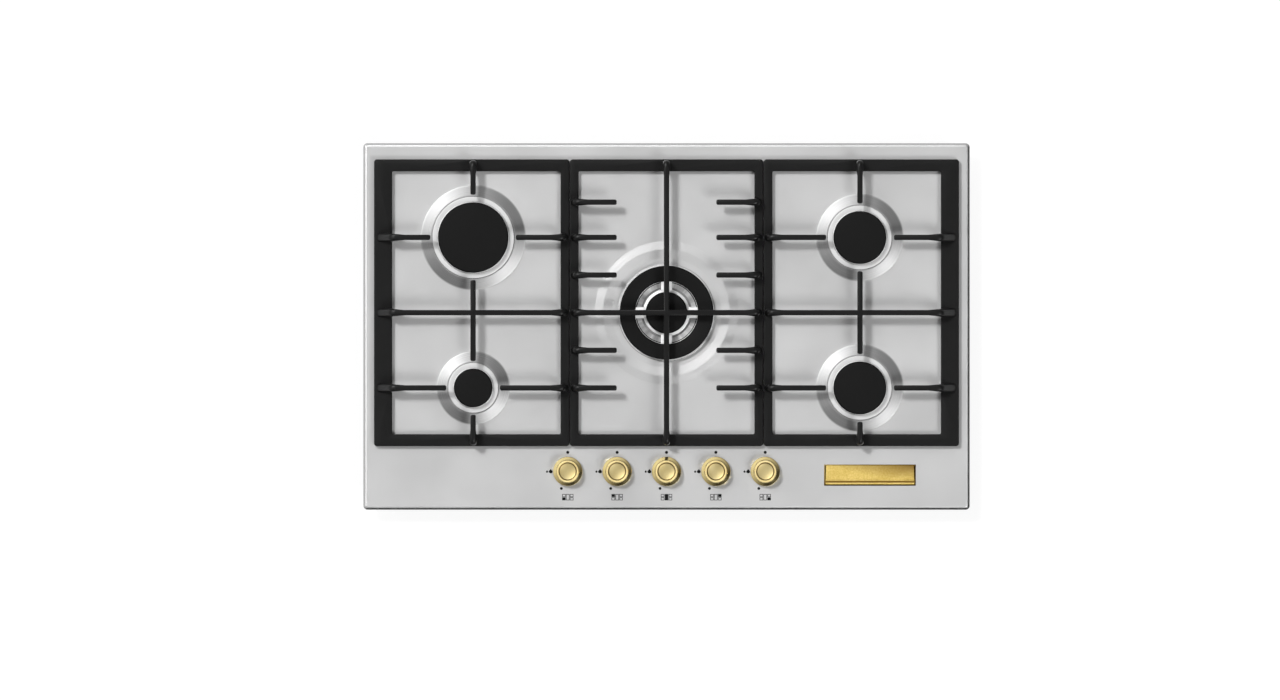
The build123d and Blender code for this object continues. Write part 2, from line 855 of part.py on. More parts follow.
def make_crown(burner):
    """Crown of a corner burner: a shouldered ring with flame ports, open on top under its cap."""
    seat_top = burner.seat + flange_thickness
    top = seat_top + crown_height
    shoulder_r = burner.cap_r + crown_shoulder
    ring_r = burner.cap_r - port_ring_inset
    chamber_r = ring_r - crown_wall
    shoulder_top = seat_top + crown_shoulder_height
    body = rod(shoulder_r, seat_top, shoulder_top) + rod(ring_r, shoulder_top, top)
    body -= rod(chamber_r, seat_top + crown_floor, top)
    pockets = probe_cuts(burner, pocket_clearance + pocket_wall, seat_top, top)
    body += [pocket & rod(ring_r, seat_top, top) for pocket in pockets]
    body += venturi(seat_top)
    body -= venturi_bore(seat_top)
    body -= [slot for angle, slot in ports(ring_r, crown_wall, top) if misses_probes(burner, angle)]
    body -= probe_cuts(burner, pocket_clearance, seat_top, top)
    return Pos(burner.x, burner.y, 0) * body


def make_cap(burner):
    """Flat enamelled cap with a bevelled rim and a locating lip inside the crown."""
    low = burner.seat + flange_thickness + crown_height
    disc = rod(burner.cap_r, low, low + cap_thickness)
    disc = chamfer(disc.faces().sort_by(Axis.Z)[-1].edges(), cap_bevel)
    lip_r = burner.cap_r - port_ring_inset - crown_wall - cap_lip_clearance
    lip = rod(lip_r, low - cap_lip_height, low) - rod(lip_r - cap_lip_wall, low - cap_lip_height, low)
    lip -= probe_cuts(burner, pocket_clearance + pocket_wall + cap_lip_clearance, low - cap_lip_height, low)
    return Pos(burner.x, burner.y, 0) * (disc + lip)


def make_triple_crown():
    """Triple crown: an outer ring chamber and a hub chamber, joined by four bridges over open air slots."""
    seat_top = triple.seat + flange_thickness
    top = seat_top + triple_crown_height
    ring_r = triple_cap_r - port_ring_inset
    bore_r = triple_cap_bore_r - cap_lip_clearance
    floor = seat_top + crown_floor
    slope_top = top - triple_slope_drop
    slope_foot = seat_top + triple_slope_height
    outer = turned(
        [
            (triple_slope_foot_r, seat_top),
            (ring_r, seat_top),
            (ring_r, top),
            (ring_r - triple_ring_wall, top),
            (ring_r - triple_ring_wall, floor),
            (bore_r + triple_ring_wall, floor),
            (bore_r + triple_ring_wall, top),
            (bore_r, top),
            (bore_r, slope_top),
            (triple_slope_foot_r, slope_foot),
        ]
    )
    hub_top = seat_top + triple_hub_height
    neck_top = top + triple_inner_rise
    inner_ring_r = triple_inner_cap_r - port_ring_inset / 2
    chamber_r = inner_ring_r - triple_hub_wall
    hub = rod(triple_hub_r, seat_top, hub_top) + rod(inner_ring_r, hub_top, neck_top)
    hub -= rod(chamber_r, floor, neck_top)
    reach = bore_r - triple_hub_r + 2 * cut_margin
    middle = (bore_r + triple_hub_r) / 2
    bridge = Pos(middle, 0, seat_top + bridge_height / 2) * Box(reach, bridge_width, bridge_height)
    bridges = [Rot(0, 0, turn) * bridge for turn in (0, 90, 180, 270)]
    crown = outer + hub + bridges + venturi(seat_top)
    pockets = probe_cuts(triple, pocket_clearance + pocket_wall, seat_top, top)
    crown += pockets
    crown -= venturi_bore(seat_top)
    crown -= [slot for angle, slot in ports(ring_r, triple_ring_wall, top) if misses_probes(triple, angle)]
    crown -= [slot for angle, slot in ports(inner_ring_r, triple_hub_wall, neck_top)]
    crown -= probe_cuts(triple, pocket_clearance, seat_top, top)
    return Pos(triple.x, triple.y, 0) * crown


def make_triple_outer_cap():
    """Ring cap whose top falls a little towards its bore."""
    low = triple.seat + flange_thickness + triple_crown_height
    high = low + triple_cap_thickness
    ring = turned(
        [
            (triple_cap_bore_r, low),
            (triple_cap_r, low),
            (triple_cap_r, high - triple_ring_bevel),
            (triple_cap_r - triple_ring_bevel, high),
            (triple_cap_bore_r + triple_ring_bevel, high - triple_cap_fall),
            (triple_cap_bore_r, high - triple_cap_fall - triple_ring_bevel),
        ]
    )
    chamber_r = triple_cap_r - port_ring_inset - triple_ring_wall - cap_lip_clearance
    lip = rod(chamber_r, low - cap_lip_height, low) - rod(chamber_r - cap_lip_wall, low - cap_lip_height, low)
    lip -= probe_cuts(triple, pocket_clearance + pocket_wall + cap_lip_clearance, low - cap_lip_height, low)
    return Pos(triple.x, triple.y, 0) * (ring + lip)


def make_triple_inner_cap():
    low = triple.seat + flange_thickness + triple_crown_height + triple_inner_rise
    disc = rod(triple_inner_cap_r, low, low + triple_cap_thickness)
    disc = chamfer(disc.faces().sort_by(Axis.Z)[-1].edges(), triple_cap_bevel)
    lip_r = triple_inner_cap_r - port_ring_inset / 2 - triple_hub_wall - cap_lip_clearance
    lip = rod(lip_r, low - cap_lip_height, low) - rod(lip_r - cap_lip_wall, low - cap_lip_height, low)
    return Pos(triple.x, triple.y, 0) * (disc + lip)


def probe_top(burner):
    """Probes stop short of the underside of the cap."""
    height = triple_crown_height if burner is triple else crown_height
    return burner.seat + flange_thickness + height - probe_cap_gap


def make_electrodes():
    pins = []
    for burner in burners:
        x, y = probe_place(burner, burner.electrode_angle)
        top = probe_top(burner)
        shoulder = top - electrode_pin_length
        pins.append(rod(electrode_r, probe_low, shoulder, x, y) + rod(electrode_pin_r, shoulder, top, x, y))
    return group(pins)


def rear_lane_x(burner):
    """Where the tube and the lead of a rear burner run to the back, beside its column."""
    return -rear_tube_x if burner.x < 0 else rear_tube_x


def make_sensors():
    """Temperature sensors: a bulb beside each crown and its thin lead down to the tap's safety valve."""
    sensors = []
    for burner in burners:
        x, y = probe_place(burner, burner.sensor_angle)
        bulb = rod(sensor_r, probe_low, probe_top(burner), x, y)
        start_x = knob_xs[burner.tap] + tap_r + valve_length
        turn_x = start_x + lead_start
        step_y = knob_row_y + lead_step
        lane_y = (rear_lane_y if burner.y >= middle_row_y else front_lane_y) + lead_lane_shift
        points = [
            (start_x, knob_row_y, tap_port_z),
            (turn_x, knob_row_y, tap_port_z),
            (turn_x, step_y, tap_port_z),
            (turn_x, step_y, lead_z),
            (turn_x, lane_y, lead_z),
        ]
        if burner in (rapid, medium_rear):
            points += [(rear_lane_x(burner), lane_y, lead_z), (rear_lane_x(burner), y, lead_z)]
        else:
            points.append((x, lane_y, lead_z))
        points += [(x, y, lead_z), (x, y, probe_low + lead_overlap)]
        sensors.append(bulb + round_bar(points, lead_r, lead_bend_r))
    return group(sensors)


# ---------------------------------------------------------------- knobs, spindles, push rings, taps

def make_knob(x):
    """Turned knob: a rounded bead at the foot, a waist, a rim and a dished top; hollow round its hub."""
    bead_top = knob_low + knob_bead_height
    shoulder = knob_top - knob_shoulder_drop
    bead_r = knob_bead_height / 2
    bead_x = knob_r - knob_bead_bulge
    foot_bead = ThreePointArc((bead_x, knob_low), (knob_r, knob_low + bead_r), (bead_x, bead_top))
    flank = Line((bead_x, bead_top), (knob_waist_r, shoulder))
    rim_middle_r = (knob_waist_r + knob_rim_r) / 2 + knob_rim_bulge
    rim_middle_z = (shoulder + knob_top) / 2 + knob_rim_bulge
    rim = ThreePointArc((knob_waist_r, shoulder), (rim_middle_r, rim_middle_z), (knob_rim_r, knob_top))
    land = Line((knob_rim_r, knob_top), (knob_dish_r, knob_top))
    axis_line = Line((0, knob_top), (0, knob_low))
    top_line = Line((knob_dish_r, knob_top), (0, knob_top))
    foot = Line((0, knob_low), (bead_x, knob_low))
    outline = make_face(foot_bead + flank + rim + land + top_line + axis_line + foot)
    dish_r = (knob_dish_r**2 + knob_dish_depth**2) / (2 * knob_dish_depth)
    dish = Pos(0, 0, knob_top - knob_dish_depth + dish_r) * Sphere(dish_r)
    body = revolve(Plane.XZ * outline, Axis.Z) - dish
    hollow_top = knob_top - knob_dish_depth - knob_wall
    hollow = rod(knob_waist_r - knob_wall, knob_low, hollow_top) - rod(push_ring_r, knob_low, hollow_top)
    bore = rod(spindle_r + spindle_fit, knob_low, spindle_top + spindle_fit)
    return Pos(x, knob_row_y, 0) * (body - hollow - (bore - spindle_key()))


def spindle_key():
    """The flat that keys a knob to its spindle, as the block that stays on the bore's side."""
    return block(
        (spindle_r - spindle_flat + spindle_fit, 2 * spindle_r),
        (-2 * spindle_r, 2 * spindle_r),
        (spindle_top - spindle_flat_length, spindle_top + cut_margin),
    )


def make_spindle(x):
    shaft = rod(spindle_r, spindle_low, spindle_top)
    flat = block(
        (spindle_r - spindle_flat, 2 * spindle_r),
        (-2 * spindle_r, 2 * spindle_r),
        (spindle_top - spindle_flat_length - spindle_fit, spindle_top + cut_margin),
    )
    return Pos(x, knob_row_y, 0) * (shaft - flat)


def make_push_ring(x):
    """Sleeve round the spindle that goes down with the knob but doesn't turn; its tab works the switch."""
    low = plate_top - push_ring_low
    sleeve = rod(push_ring_r, low, knob_low - seat_gap)
    tab = block(
        (-push_tab_width / 2, push_tab_width / 2), (-push_tab_reach, 0), (low, low + push_tab_thickness)
    )
    ring = sleeve + tab - rod(spindle_r + spindle_fit, low, knob_low)
    return Pos(x, knob_row_y, 0) * ring


def make_knob_seals():
    """Rubber grommets in the plate's knob holes."""
    lip_low = plate_under - knob_seal_thickness
    body = rod(knob_seal_r, plate_top, plate_top + knob_seal_thickness)
    body = chamfer(body.faces().sort_by(Axis.Z)[-1].edges(), knob_seal_thickness / 2)
    body += rod(knob_hole_r, plate_under, plate_top)
    body += rod(knob_seal_lip_r, lip_low, plate_under)
    body -= rod(push_ring_r + ring_clearance, lip_low, plate_top + knob_seal_thickness)
    return group([Pos(x, knob_row_y, 0) * body for x in knob_xs])


def make_tap_bodies():
    """Brass taps: an upright plug housing on a saddle over the manifold, with a nozzle to the back."""
    low = tap_top - tap_height
    half = saddle_width / 2
    saddle = block((-half, half), (-half, half), (manifold_z + saddle_rise, low + saddle_overlap))
    housing = rod(tap_r, low, tap_top) + saddle
    nozzle = Pos(0, 0, tap_port_z) * along_y(rod(tap_nozzle_r, 0, tap_r + tap_nozzle_length))
    body = housing + nozzle
    body -= Pos(0, 0, manifold_z) * along_x(rod(manifold_r + thread_clearance, -saddle_width, saddle_width))
    body -= rod(spindle_r + spindle_fit, tap_top - tap_bore_depth, tap_top)
    body -= Pos(0, 0, tap_port_z) * along_y(rod(tube_r - tube_wall, tap_r, tap_r + tap_nozzle_length))
    body -= valve_shape(thread_clearance)
    return group([Pos(x, knob_row_y, 0) * body for x in knob_xs])


def valve_shape(extra=0.0):
    """Safety valve: a cylinder screwed a few millimetres into the tap's side, towards +X."""
    low = tap_r - valve_socket_depth - extra
    return Pos(0, 0, tap_port_z) * along_x(rod(valve_r + extra, low, tap_r + valve_length))


def make_safety_valves():
    return group([Pos(x, knob_row_y, 0) * valve_shape() for x in knob_xs])


def make_ignition_switches():
    """One small switch on the front of each tap, under the push ring's tab."""
    half = switch_length / 2
    body = block((-half, half), (-tap_r - switch_size, -tap_r), (switch_low, switch_top))
    button = rod(switch_button_r, switch_top, switch_top + switch_button_height, 0, -tap_r - switch_size / 2)
    return group([Pos(x, knob_row_y, 0) * (body + button) for x in knob_xs])


# ---------------------------------------------------------------- gas pipes

def make_manifold():
    """Supply pipe: along the taps, round the front right corner and back to the inlet."""
    start_x = knob_xs[0] - manifold_overrun
    points = [
        (start_x, knob_row_y, manifold_z),
        (notch_middle_x, knob_row_y, manifold_z),
        (notch_middle_x, notch_wall_y - inlet_neck_length, manifold_z),
    ]
    pipe = round_bar(points, manifold_r, manifold_bend_r, manifold_r - manifold_wall)
    plug = Pos(start_x, knob_row_y, manifold_z) * along_x(rod(manifold_r, -manifold_wall, 0))
    openings = [rod(spindle_r, manifold_z, manifold_z + manifold_r, x, knob_row_y) for x in knob_xs]
    return (pipe + plug) - openings


def make_manifold_brackets():
    """Saddles that carry the supply pipe on the casing's floor."""
    half_length = manifold_bracket_length / 2
    half_width = manifold_bracket_width / 2
    saddle = block((-half_length, half_length), (-half_width, half_width), (casing_floor, manifold_z))
    bore = Pos(0, 0, manifold_z) * along_x(rod(manifold_r + thread_clearance, -half_length, half_length))
    saddle -= bore
    between_knobs = [(knob_xs[0] + knob_xs[1]) / 2, (knob_xs[-1] + knob_xs[-2]) / 2]
    saddles = [Pos(x, knob_row_y, 0) * saddle for x in between_knobs]
    saddles.append(Pos(notch_middle_x, middle_row_y, 0) * Rot(0, 0, 90) * saddle)
    return group(saddles)


def make_gas_inlet():
    """Inlet fitting through the right notch's wall: neck, hexagon and a G 1/2 male end."""
    neck = rod(inlet_thread_r, -inlet_neck_length, 0)
    collar = hexagon(inlet_hex_flats, 0, inlet_hex_length)
    thread = rod(inlet_thread_r, inlet_hex_length, inlet_hex_length + inlet_thread_length)
    body = neck + collar + thread
    body -= rod(manifold_r - manifold_wall, -inlet_neck_length, inlet_hex_length + inlet_thread_length)
    return Pos(notch_middle_x, notch_wall_y, manifold_z) * along_y(body)


def make_inlet_lock_nut():
    low = -casing_sheet - inlet_hex_length
    nut = hexagon(inlet_hex_flats, low, -casing_sheet) - rod(inlet_thread_r + thread_clearance, low, 0)
    return Pos(notch_middle_x, notch_wall_y, manifold_z) * along_y(nut)


def make_gas_tubes():
    """One tube from each tap's nozzle down to its burner's stub, all in one level below the plate."""
    start_y = knob_row_y + tap_r + tap_nozzle_length
    stub_reach = well_r + well_wall + stub_length
    tubes = []
    for burner in burners:
        x = knob_xs[burner.tap]
        points = [(x, start_y, tap_port_z), (x, start_y + tube_drop_run, tap_port_z)]
        points.append((x, start_y + tube_drop_run, tube_z))
        end = (
            burner.x + stub_reach * cos(radians(stub_angle(burner))),
            burner.y + stub_reach * sin(radians(stub_angle(burner))),
            tube_z,
        )
        if burner in (rapid, medium_rear):
            lane_x = rear_lane_x(burner)
            points += [(x, rear_lane_y, tube_z), (lane_x, rear_lane_y, tube_z), (lane_x, burner.y, tube_z)]
        elif burner is not triple:
            points += [(x, front_lane_y, tube_z), (burner.x, front_lane_y, tube_z)]
        points.append(end)
        tubes.append(round_bar(points, tube_r, tube_bend_r, tube_r - tube_wall))
    return group(tubes)


# ---------------------------------------------------------------- ignition module, wires, cord gland

module_right = -notch_middle_x + module_length / 2
module_rear = notch_wall_y - module_wall_gap
wire_z = casing_floor + wire_r


def make_ignition_module():
    body = block(
        (module_right - module_length, module_right),
        (module_rear - module_depth, module_rear),
        (casing_floor, casing_floor + module_height),
    )
    return fillet(body.edges().filter_by(Axis.Z), module_corner_r)


def make_ignition_wires():
    """High-tension wires from the module's right side over the floor to the electrodes."""
    front_port_y = module_rear - module_depth + port_step
    wires = []
    rapid_x, rapid_y = probe_place(rapid, rapid.electrode_angle)
    wires.append([(module_right, rapid_y, wire_z), (rapid_x, rapid_y, wire_z), (rapid_x, rapid_y, probe_low)])
    small_x, small_y = probe_place(small, small.electrode_angle)
    small_port_y = rapid_y - port_step / 2
    lane_x = module_right + 2 * port_step
    wires.append(
        [
            (module_right, small_port_y, wire_z),
            (lane_x, small_port_y, wire_z),
            (lane_x, small_y, wire_z),
            (small_x, small_y, wire_z),
            (small_x, small_y, probe_low),
        ]
    )
    triple_x, triple_y = probe_place(triple, triple.electrode_angle)
    triple_port_y = front_port_y + port_step
    lane_x = rapid.x + triple_wire_lane
    wires.append(
        [
            (module_right, triple_port_y, wire_z),
            (lane_x, triple_port_y, wire_z),
            (lane_x, triple_y, wire_z),
            (triple_x, triple_y, wire_z),
            (triple_x, triple_y, probe_low),
        ]
    )
    rear_x, rear_y = probe_place(medium_rear, medium_rear.electrode_angle)
    rear_port_y = triple_port_y + port_step
    wires.append(
        [
            (module_right, rear_port_y, wire_z),
            (rear_x - 2 * port_step, rear_port_y, wire_z),
            (rear_x - 2 * port_step, rear_y, wire_z),
            (rear_x, rear_y, wire_z),
            (rear_x, rear_y, probe_low),
        ]
    )
    front_x, front_y = probe_place(medium_front, medium_front.electrode_angle)
    last_port_y = rear_port_y + port_step
    lane_x = medium_front.x + 4 * port_step
    wires.append(
        [
            (module_right, last_port_y, wire_z),
            (lane_x, last_port_y, wire_z),
            (lane_x, front_y, wire_z),
            (front_x, front_y, wire_z),
            (front_x, front_y, probe_low),
        ]
    )
    return group([round_bar(points, wire_r, wire_bend_r) for points in wires])


def make_cord_gland():
    """Nylon gland through the left notch's wall, up to the module, with a free bore for the supply cord."""
    outside = rod(gland_r, 0, gland_length)
    outside = chamfer(outside.faces().sort_by(Axis.Z)[-1].edges(), gland_bevel)
    inside = rod(gland_thread_r, -module_wall_gap, 0)
    body = outside + inside - rod(gland_bore_r, -module_wall_gap, gland_length)
    return Pos(-notch_middle_x, notch_wall_y, gland_z) * along_y(body)


# ---------------------------------------------------------------- all sub-parts

def main():
    os.makedirs("parts", exist_ok=True)
    save("top_plate", make_top_plate())
    save("rim_seal", make_rim_seal())
    save("badge_plate", make_badge_plate())
    save("bottom_casing", make_bottom_casing())
    save("casing_nuts", make_casing_nuts())
    save("clamp_brackets", make_clamp_brackets())
    save("clamp_screws", make_clamp_screws())
    save("pan_support_left", make_side_support(-1, rapid, small))
    save("pan_support_middle", make_middle_support())
    save("pan_support_right", make_side_support(1, medium_rear, medium_front))
    for side, name in ((-1, "left"), (0, "middle"), (1, "right")):
        save(f"support_feet_{name}", make_feet(*support_edges(side)))
    for burner in burners:
        save(f"burner_cup_{burner.name}", make_cup(burner))
    for burner in corner_burners:
        save(f"crown_{burner.name}", make_crown(burner))
        save(f"cap_{burner.name}", make_cap(burner))
    save("crown_triple", make_triple_crown())
    save("cap_triple_outer", make_triple_outer_cap())
    save("cap_triple_inner", make_triple_inner_cap())
    save("lock_rings", make_lock_rings())
    save("injectors", make_injectors())
    save("electrodes", make_electrodes())
    save("temperature_sensors", make_sensors())
    for number, x in enumerate(knob_xs, start=1):
        save(f"knob_{number}", make_knob(x))
        save(f"spindle_{number}", make_spindle(x))
        save(f"push_ring_{number}", make_push_ring(x))
    save("knob_seals", make_knob_seals())
    save("tap_bodies", make_tap_bodies())
    save("safety_valves", make_safety_valves())
    save("ignition_switches", make_ignition_switches())
    save("gas_manifold", make_manifold())
    save("manifold_brackets", make_manifold_brackets())
    save("gas_inlet", make_gas_inlet())
    save("inlet_lock_nut", make_inlet_lock_nut())
    save("gas_tubes", make_gas_tubes())
    save("ignition_module", make_ignition_module())
    save("ignition_wires", make_ignition_wires())
    save("cord_gland", make_cord_gland())


main()
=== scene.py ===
"""Gas cooktop with a pressed stainless plate, enamelled cast-iron pan supports and brass knobs.

Shapes are worked out in millimetres and written to meshes in metres.
X runs to the right, Y to the back, Z up."""
import json
from collections import namedtuple
from math import pi, radians

import bmesh
import bpy
import numpy as np
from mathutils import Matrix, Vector
from mathutils.geometry import tessellate_polygon


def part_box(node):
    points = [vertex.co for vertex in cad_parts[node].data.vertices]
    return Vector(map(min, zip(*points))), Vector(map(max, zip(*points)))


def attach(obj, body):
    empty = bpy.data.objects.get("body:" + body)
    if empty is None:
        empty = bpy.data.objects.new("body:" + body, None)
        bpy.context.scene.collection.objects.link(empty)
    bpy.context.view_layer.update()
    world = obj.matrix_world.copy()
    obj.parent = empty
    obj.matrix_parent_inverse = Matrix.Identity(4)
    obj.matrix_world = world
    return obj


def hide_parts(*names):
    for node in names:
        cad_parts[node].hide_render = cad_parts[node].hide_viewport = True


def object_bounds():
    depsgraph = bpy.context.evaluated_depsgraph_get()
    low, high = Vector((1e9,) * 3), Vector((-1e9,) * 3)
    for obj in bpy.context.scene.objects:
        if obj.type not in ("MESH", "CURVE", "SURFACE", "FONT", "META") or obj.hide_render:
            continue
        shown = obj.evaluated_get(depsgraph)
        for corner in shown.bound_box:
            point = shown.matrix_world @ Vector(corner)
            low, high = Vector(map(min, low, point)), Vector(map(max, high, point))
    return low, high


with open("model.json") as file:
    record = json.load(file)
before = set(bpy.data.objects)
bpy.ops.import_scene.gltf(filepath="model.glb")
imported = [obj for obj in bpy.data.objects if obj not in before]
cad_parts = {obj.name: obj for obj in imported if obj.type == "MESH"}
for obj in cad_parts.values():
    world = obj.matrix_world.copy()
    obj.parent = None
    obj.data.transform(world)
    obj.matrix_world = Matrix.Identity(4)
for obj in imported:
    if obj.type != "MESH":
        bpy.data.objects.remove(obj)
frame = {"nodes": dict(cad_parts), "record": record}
cad_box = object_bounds()

MM = 0.001

# ---------------- places and sizes read from the frame

Box = namedtuple("Box", "low high middle size")


def box_of(node):
    """Box of a CAD node at rest, in millimetres."""
    low, high = (np.array(corner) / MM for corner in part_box(node))
    return Box(low, high, (low + high) / 2, high - low)


CORNERS = ("rapid", "small", "medium_rear", "medium_front")
KNOBS = (1, 2, 3, 4, 5)
SIDES = ("left", "middle", "right")

plate = box_of("top_plate")
caps = {name: box_of(f"cap_{name}") for name in CORNERS}
cups = {name: box_of(f"burner_cup_{name}") for name in CORNERS + ("triple",)}
ring_cap = box_of("cap_triple_outer")
hub_cap = box_of("cap_triple_inner")
knobs = {number: box_of(f"knob_{number}") for number in KNOBS}
supports = {side: box_of(f"pan_support_{side}") for side in SIDES}

PLATE_TOP = box_of("badge_plate").low[2]
PLATE_SHEET = 1.0
PLATE_CORNER_R = 6.0
FIELD_START = 0.5
FOLD_START = 5.0
FOLD_BREAK = 3.0
FOLD_BREAK_DROP = 0.3
FOLD_DROP = 2.9
SKIRT_LOW = 0.5
KNOB_HOLE_R = 8.0
CUP_NECK_INSET = 7.0
STRIP = 0.4

# ignition electrode and temperature sensor of each burner: angles round the burner's axis, and radii
PROBE_ANGLES = {
    "rapid": (25, -25),
    "small": (25, -25),
    "medium_rear": (155, -155),
    "medium_front": (155, -155),
    "triple": (90, -60),
}
PROBE_INSET = 13.0
ELECTRODE_R = 2.8
SENSOR_R = 2.0
PROBE_HOLE = 0.4
POCKET_GAP = 1.4
POCKET_WALL = 1.8
POCKET_RIM = 0.05

# points round the turned surfaces, by their size
ROUND = 128
WIDE_ROUND = 144
HOLE_ROUND = 48
KNOB_ROUND = 96
HUB_ROUND = 112
POST_ROUND = 40
THIN_ROUND = 32
THREAD_ROUND = 24

SHARP_ANGLE = 35.0
SOFT_ANGLE = 40.0
PLATE_SHARP = 50.0
BADGE_SHARP = 30.0
SEAM_REACH = 2e-6
NO_LENGTH = 1e-7
BEND_RANGE = (0.02, 0.15)

# boss round each corner burner and ridge round the triple burner
BOSS_RISE = 4.0
BOSS_MARGIN = 1.2
BOSS_SLOPE = 14.0
BOSS_TOP_R = 2.0
BOSS_FOOT_R = 8.0
RIDGE_INNER_R = 77.5
RIDGE_CREST_R = 90.0
RIDGE_OUTER_R = 101.5
RIDGE_RISE = 0.66
RIDGE_SOFT_R = 20.0
LAND = 9.0


# ---------------- outlines and profiles

def soft_corners(corners, radii, steps=6, closed=False):
    """Polyline in which each corner gives way to the arc of a circle that touches both of its sides.

    With half angle h and radius r, the arc starts r / tan(h) before the corner and ends as far after it."""
    corners = np.array(corners, float)
    count = len(corners)
    pieces = []
    for number in range(count):
        here, radius = corners[number], radii[number]
        if radius <= 0 or (not closed and number in (0, count - 1)):
            pieces.append(here[None])
            continue
        back = corners[number - 1] - here
        ahead = corners[(number + 1) % count] - here
        back, ahead = back / np.linalg.norm(back), ahead / np.linalg.norm(ahead)
        half = np.arccos(np.clip(back @ ahead, -1, 1)) / 2
        bisector = (back + ahead) / np.linalg.norm(back + ahead)
        centre = here + bisector * radius / np.sin(half)
        first = here + back * radius / np.tan(half) - centre
        last = here + ahead * radius / np.tan(half) - centre
        share = np.linspace(0, 1, steps + 1)[:, None]
        turn = pi - 2 * half
        arc = (np.sin((1 - share) * turn) * first + np.sin(share * turn) * last) / np.sin(turn)
        pieces.append(centre + arc)
    return np.vstack(pieces)


def rounded_outline(length, depth, radius, steps=8):
    """Rounded rectangle, counterclockwise, as points and the outward normal at each point.

    Each corner is a quarter circle: point = corner centre + radius * (cos a, sin a)."""
    quarter = np.linspace(0, pi / 2, steps + 1)
    angles = (quarter[None] + np.arange(4)[:, None] * pi / 2).ravel()
    normals = np.stack([np.cos(angles), np.sin(angles)], axis=-1)
    signs = np.repeat(np.array([(1, 1), (-1, 1), (-1, -1), (1, -1)], float), steps + 1, axis=0)
    centres = signs * (np.array([length, depth]) / 2 - radius)
    return centres + radius * normals, normals


def circle(radius, count, centre=(0.0, 0.0)):
    """Points round a circle: centre + radius * (cos a, sin a)."""
    angles = np.linspace(0, 2 * pi, count, endpoint=False)
    return np.array(centre)[:2] + radius * np.stack([np.cos(angles), np.sin(angles)], axis=-1)


def resampled(line, shares):
    """Points at the given shares of a polyline's length."""
    steps = np.linalg.norm(np.diff(line, axis=0), axis=1)
    along = np.concatenate([[0], np.cumsum(steps)]) / steps.sum()
    return np.stack([np.interp(shares, along, line[:, axis]) for axis in range(line.shape[1])], axis=-1)


def smooth_step(value, low, high):
    """0 below low, 1 above high, and 3t^2 - 2t^3 between them."""
    share = np.clip((value - low) / (high - low), 0, 1)
    return share * share * (3 - 2 * share)


# ---------------- surfaces

class Surface:
    """Grids and flat fills in millimetres, gathered into one mesh."""

    def __init__(self):
        self.points = []
        self.faces = []
        self.used = 0

    def add(self, points, faces):
        self.points.append(points.reshape(-1, 3))
        self.faces += (faces + self.used).tolist()
        self.used += len(self.points[-1])
        return self

    def grid(self, points, wrap_rows=False, wrap_columns=False):
        """Quads between neighbouring rows and columns of an array of shape (rows, columns, 3)."""
        rows, columns = points.shape[:2]
        index = np.arange(rows * columns).reshape(rows, columns)
        if wrap_rows:
            index = np.vstack([index, index[:1]])
        if wrap_columns:
            index = np.hstack([index, index[:, :1]])
        quads = np.stack([index[:-1, :-1], index[:-1, 1:], index[1:, 1:], index[1:, :-1]], axis=-1)
        return self.add(points, quads.reshape(-1, 4))

    def levels(self, flat, height):
        """Rings that close on themselves: a row of (x, y) points at each height."""
        upright = np.broadcast_to(height[:, None, None], flat.shape[:2] + (1,))
        return self.grid(np.concatenate([flat, upright], axis=-1), wrap_columns=True)

    def turned(self, profile, centre, count=ROUND, closed=False):
        """Surface of revolution of (radius, height) points.

        x = cx + radius * cos a, y = cy + radius * sin a, z = height."""
        if closed:
            profile = np.vstack([profile, profile[:1]])
        radius, height = np.asarray(profile, float).T
        return self.levels(np.array(centre)[:2] + radius[:, None, None] * circle(1.0, count)[None], height)

    def carried(self, outline, normals, profile):
        """Profile of (outward offset, height) carried round a flat outline: point + offset * normal."""
        offset, height = np.asarray(profile, float).T
        return self.levels(outline[None] + offset[:, None, None] * normals[None], height)

    def flat(self, outer, holes, height):
        """Level field inside an outline with holes in it."""
        loops = [np.column_stack([loop, np.full(len(loop), height)]) for loop in [outer] + list(holes)]
        triangles = tessellate_polygon([[Vector(point) for point in loop] for loop in loops])
        return self.add(np.vstack(loops), np.array(triangles))

    def mesh(self, sharp=SHARP_ANGLE):
        """The mesh in metres, with joined seams and poles, outward normals, and sharp edges past an angle."""
        mesh = bpy.data.meshes.new("skin")
        mesh.from_pydata(np.vstack(self.points) * MM, [], self.faces)
        work = bmesh.new()
        work.from_mesh(mesh)
        bmesh.ops.remove_doubles(work, verts=work.verts, dist=SEAM_REACH)
        bmesh.ops.dissolve_degenerate(work, edges=work.edges, dist=NO_LENGTH)
        bmesh.ops.recalc_face_normals(work, faces=work.faces)
        work.to_mesh(mesh)
        work.free()
        return smoothed(mesh, sharp)


def smoothed(mesh, sharp=SHARP_ANGLE):
    """Smooth faces, with the edges that bend past an angle kept sharp."""
    mesh.polygons.foreach_set("use_smooth", np.ones(len(mesh.polygons), bool))
    mesh.set_sharp_from_angle(angle=radians(sharp))
    return mesh


def turned_mesh(profile, centre, count=ROUND, closed=False, sharp=SHARP_ANGLE):
    """The mesh of one turned profile."""
    return Surface().turned(profile, centre, count, closed).mesh(sharp)


def linked(name, data):
    """A new object in the scene."""
    made = bpy.data.objects.new(name, data)
    bpy.context.scene.collection.objects.link(made)
    return made


def piece(name, mesh, body, slot, nodes=(), finish=None):
    """A piece that rides on a body and stands for CAD nodes, in its slot's finish or in the one named."""
    mesh.materials.clear()
    mesh.materials.append(finishes[finish or slot])
    made = linked(name, mesh)
    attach(made, body)
    if nodes:
        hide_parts(*nodes)
    return made


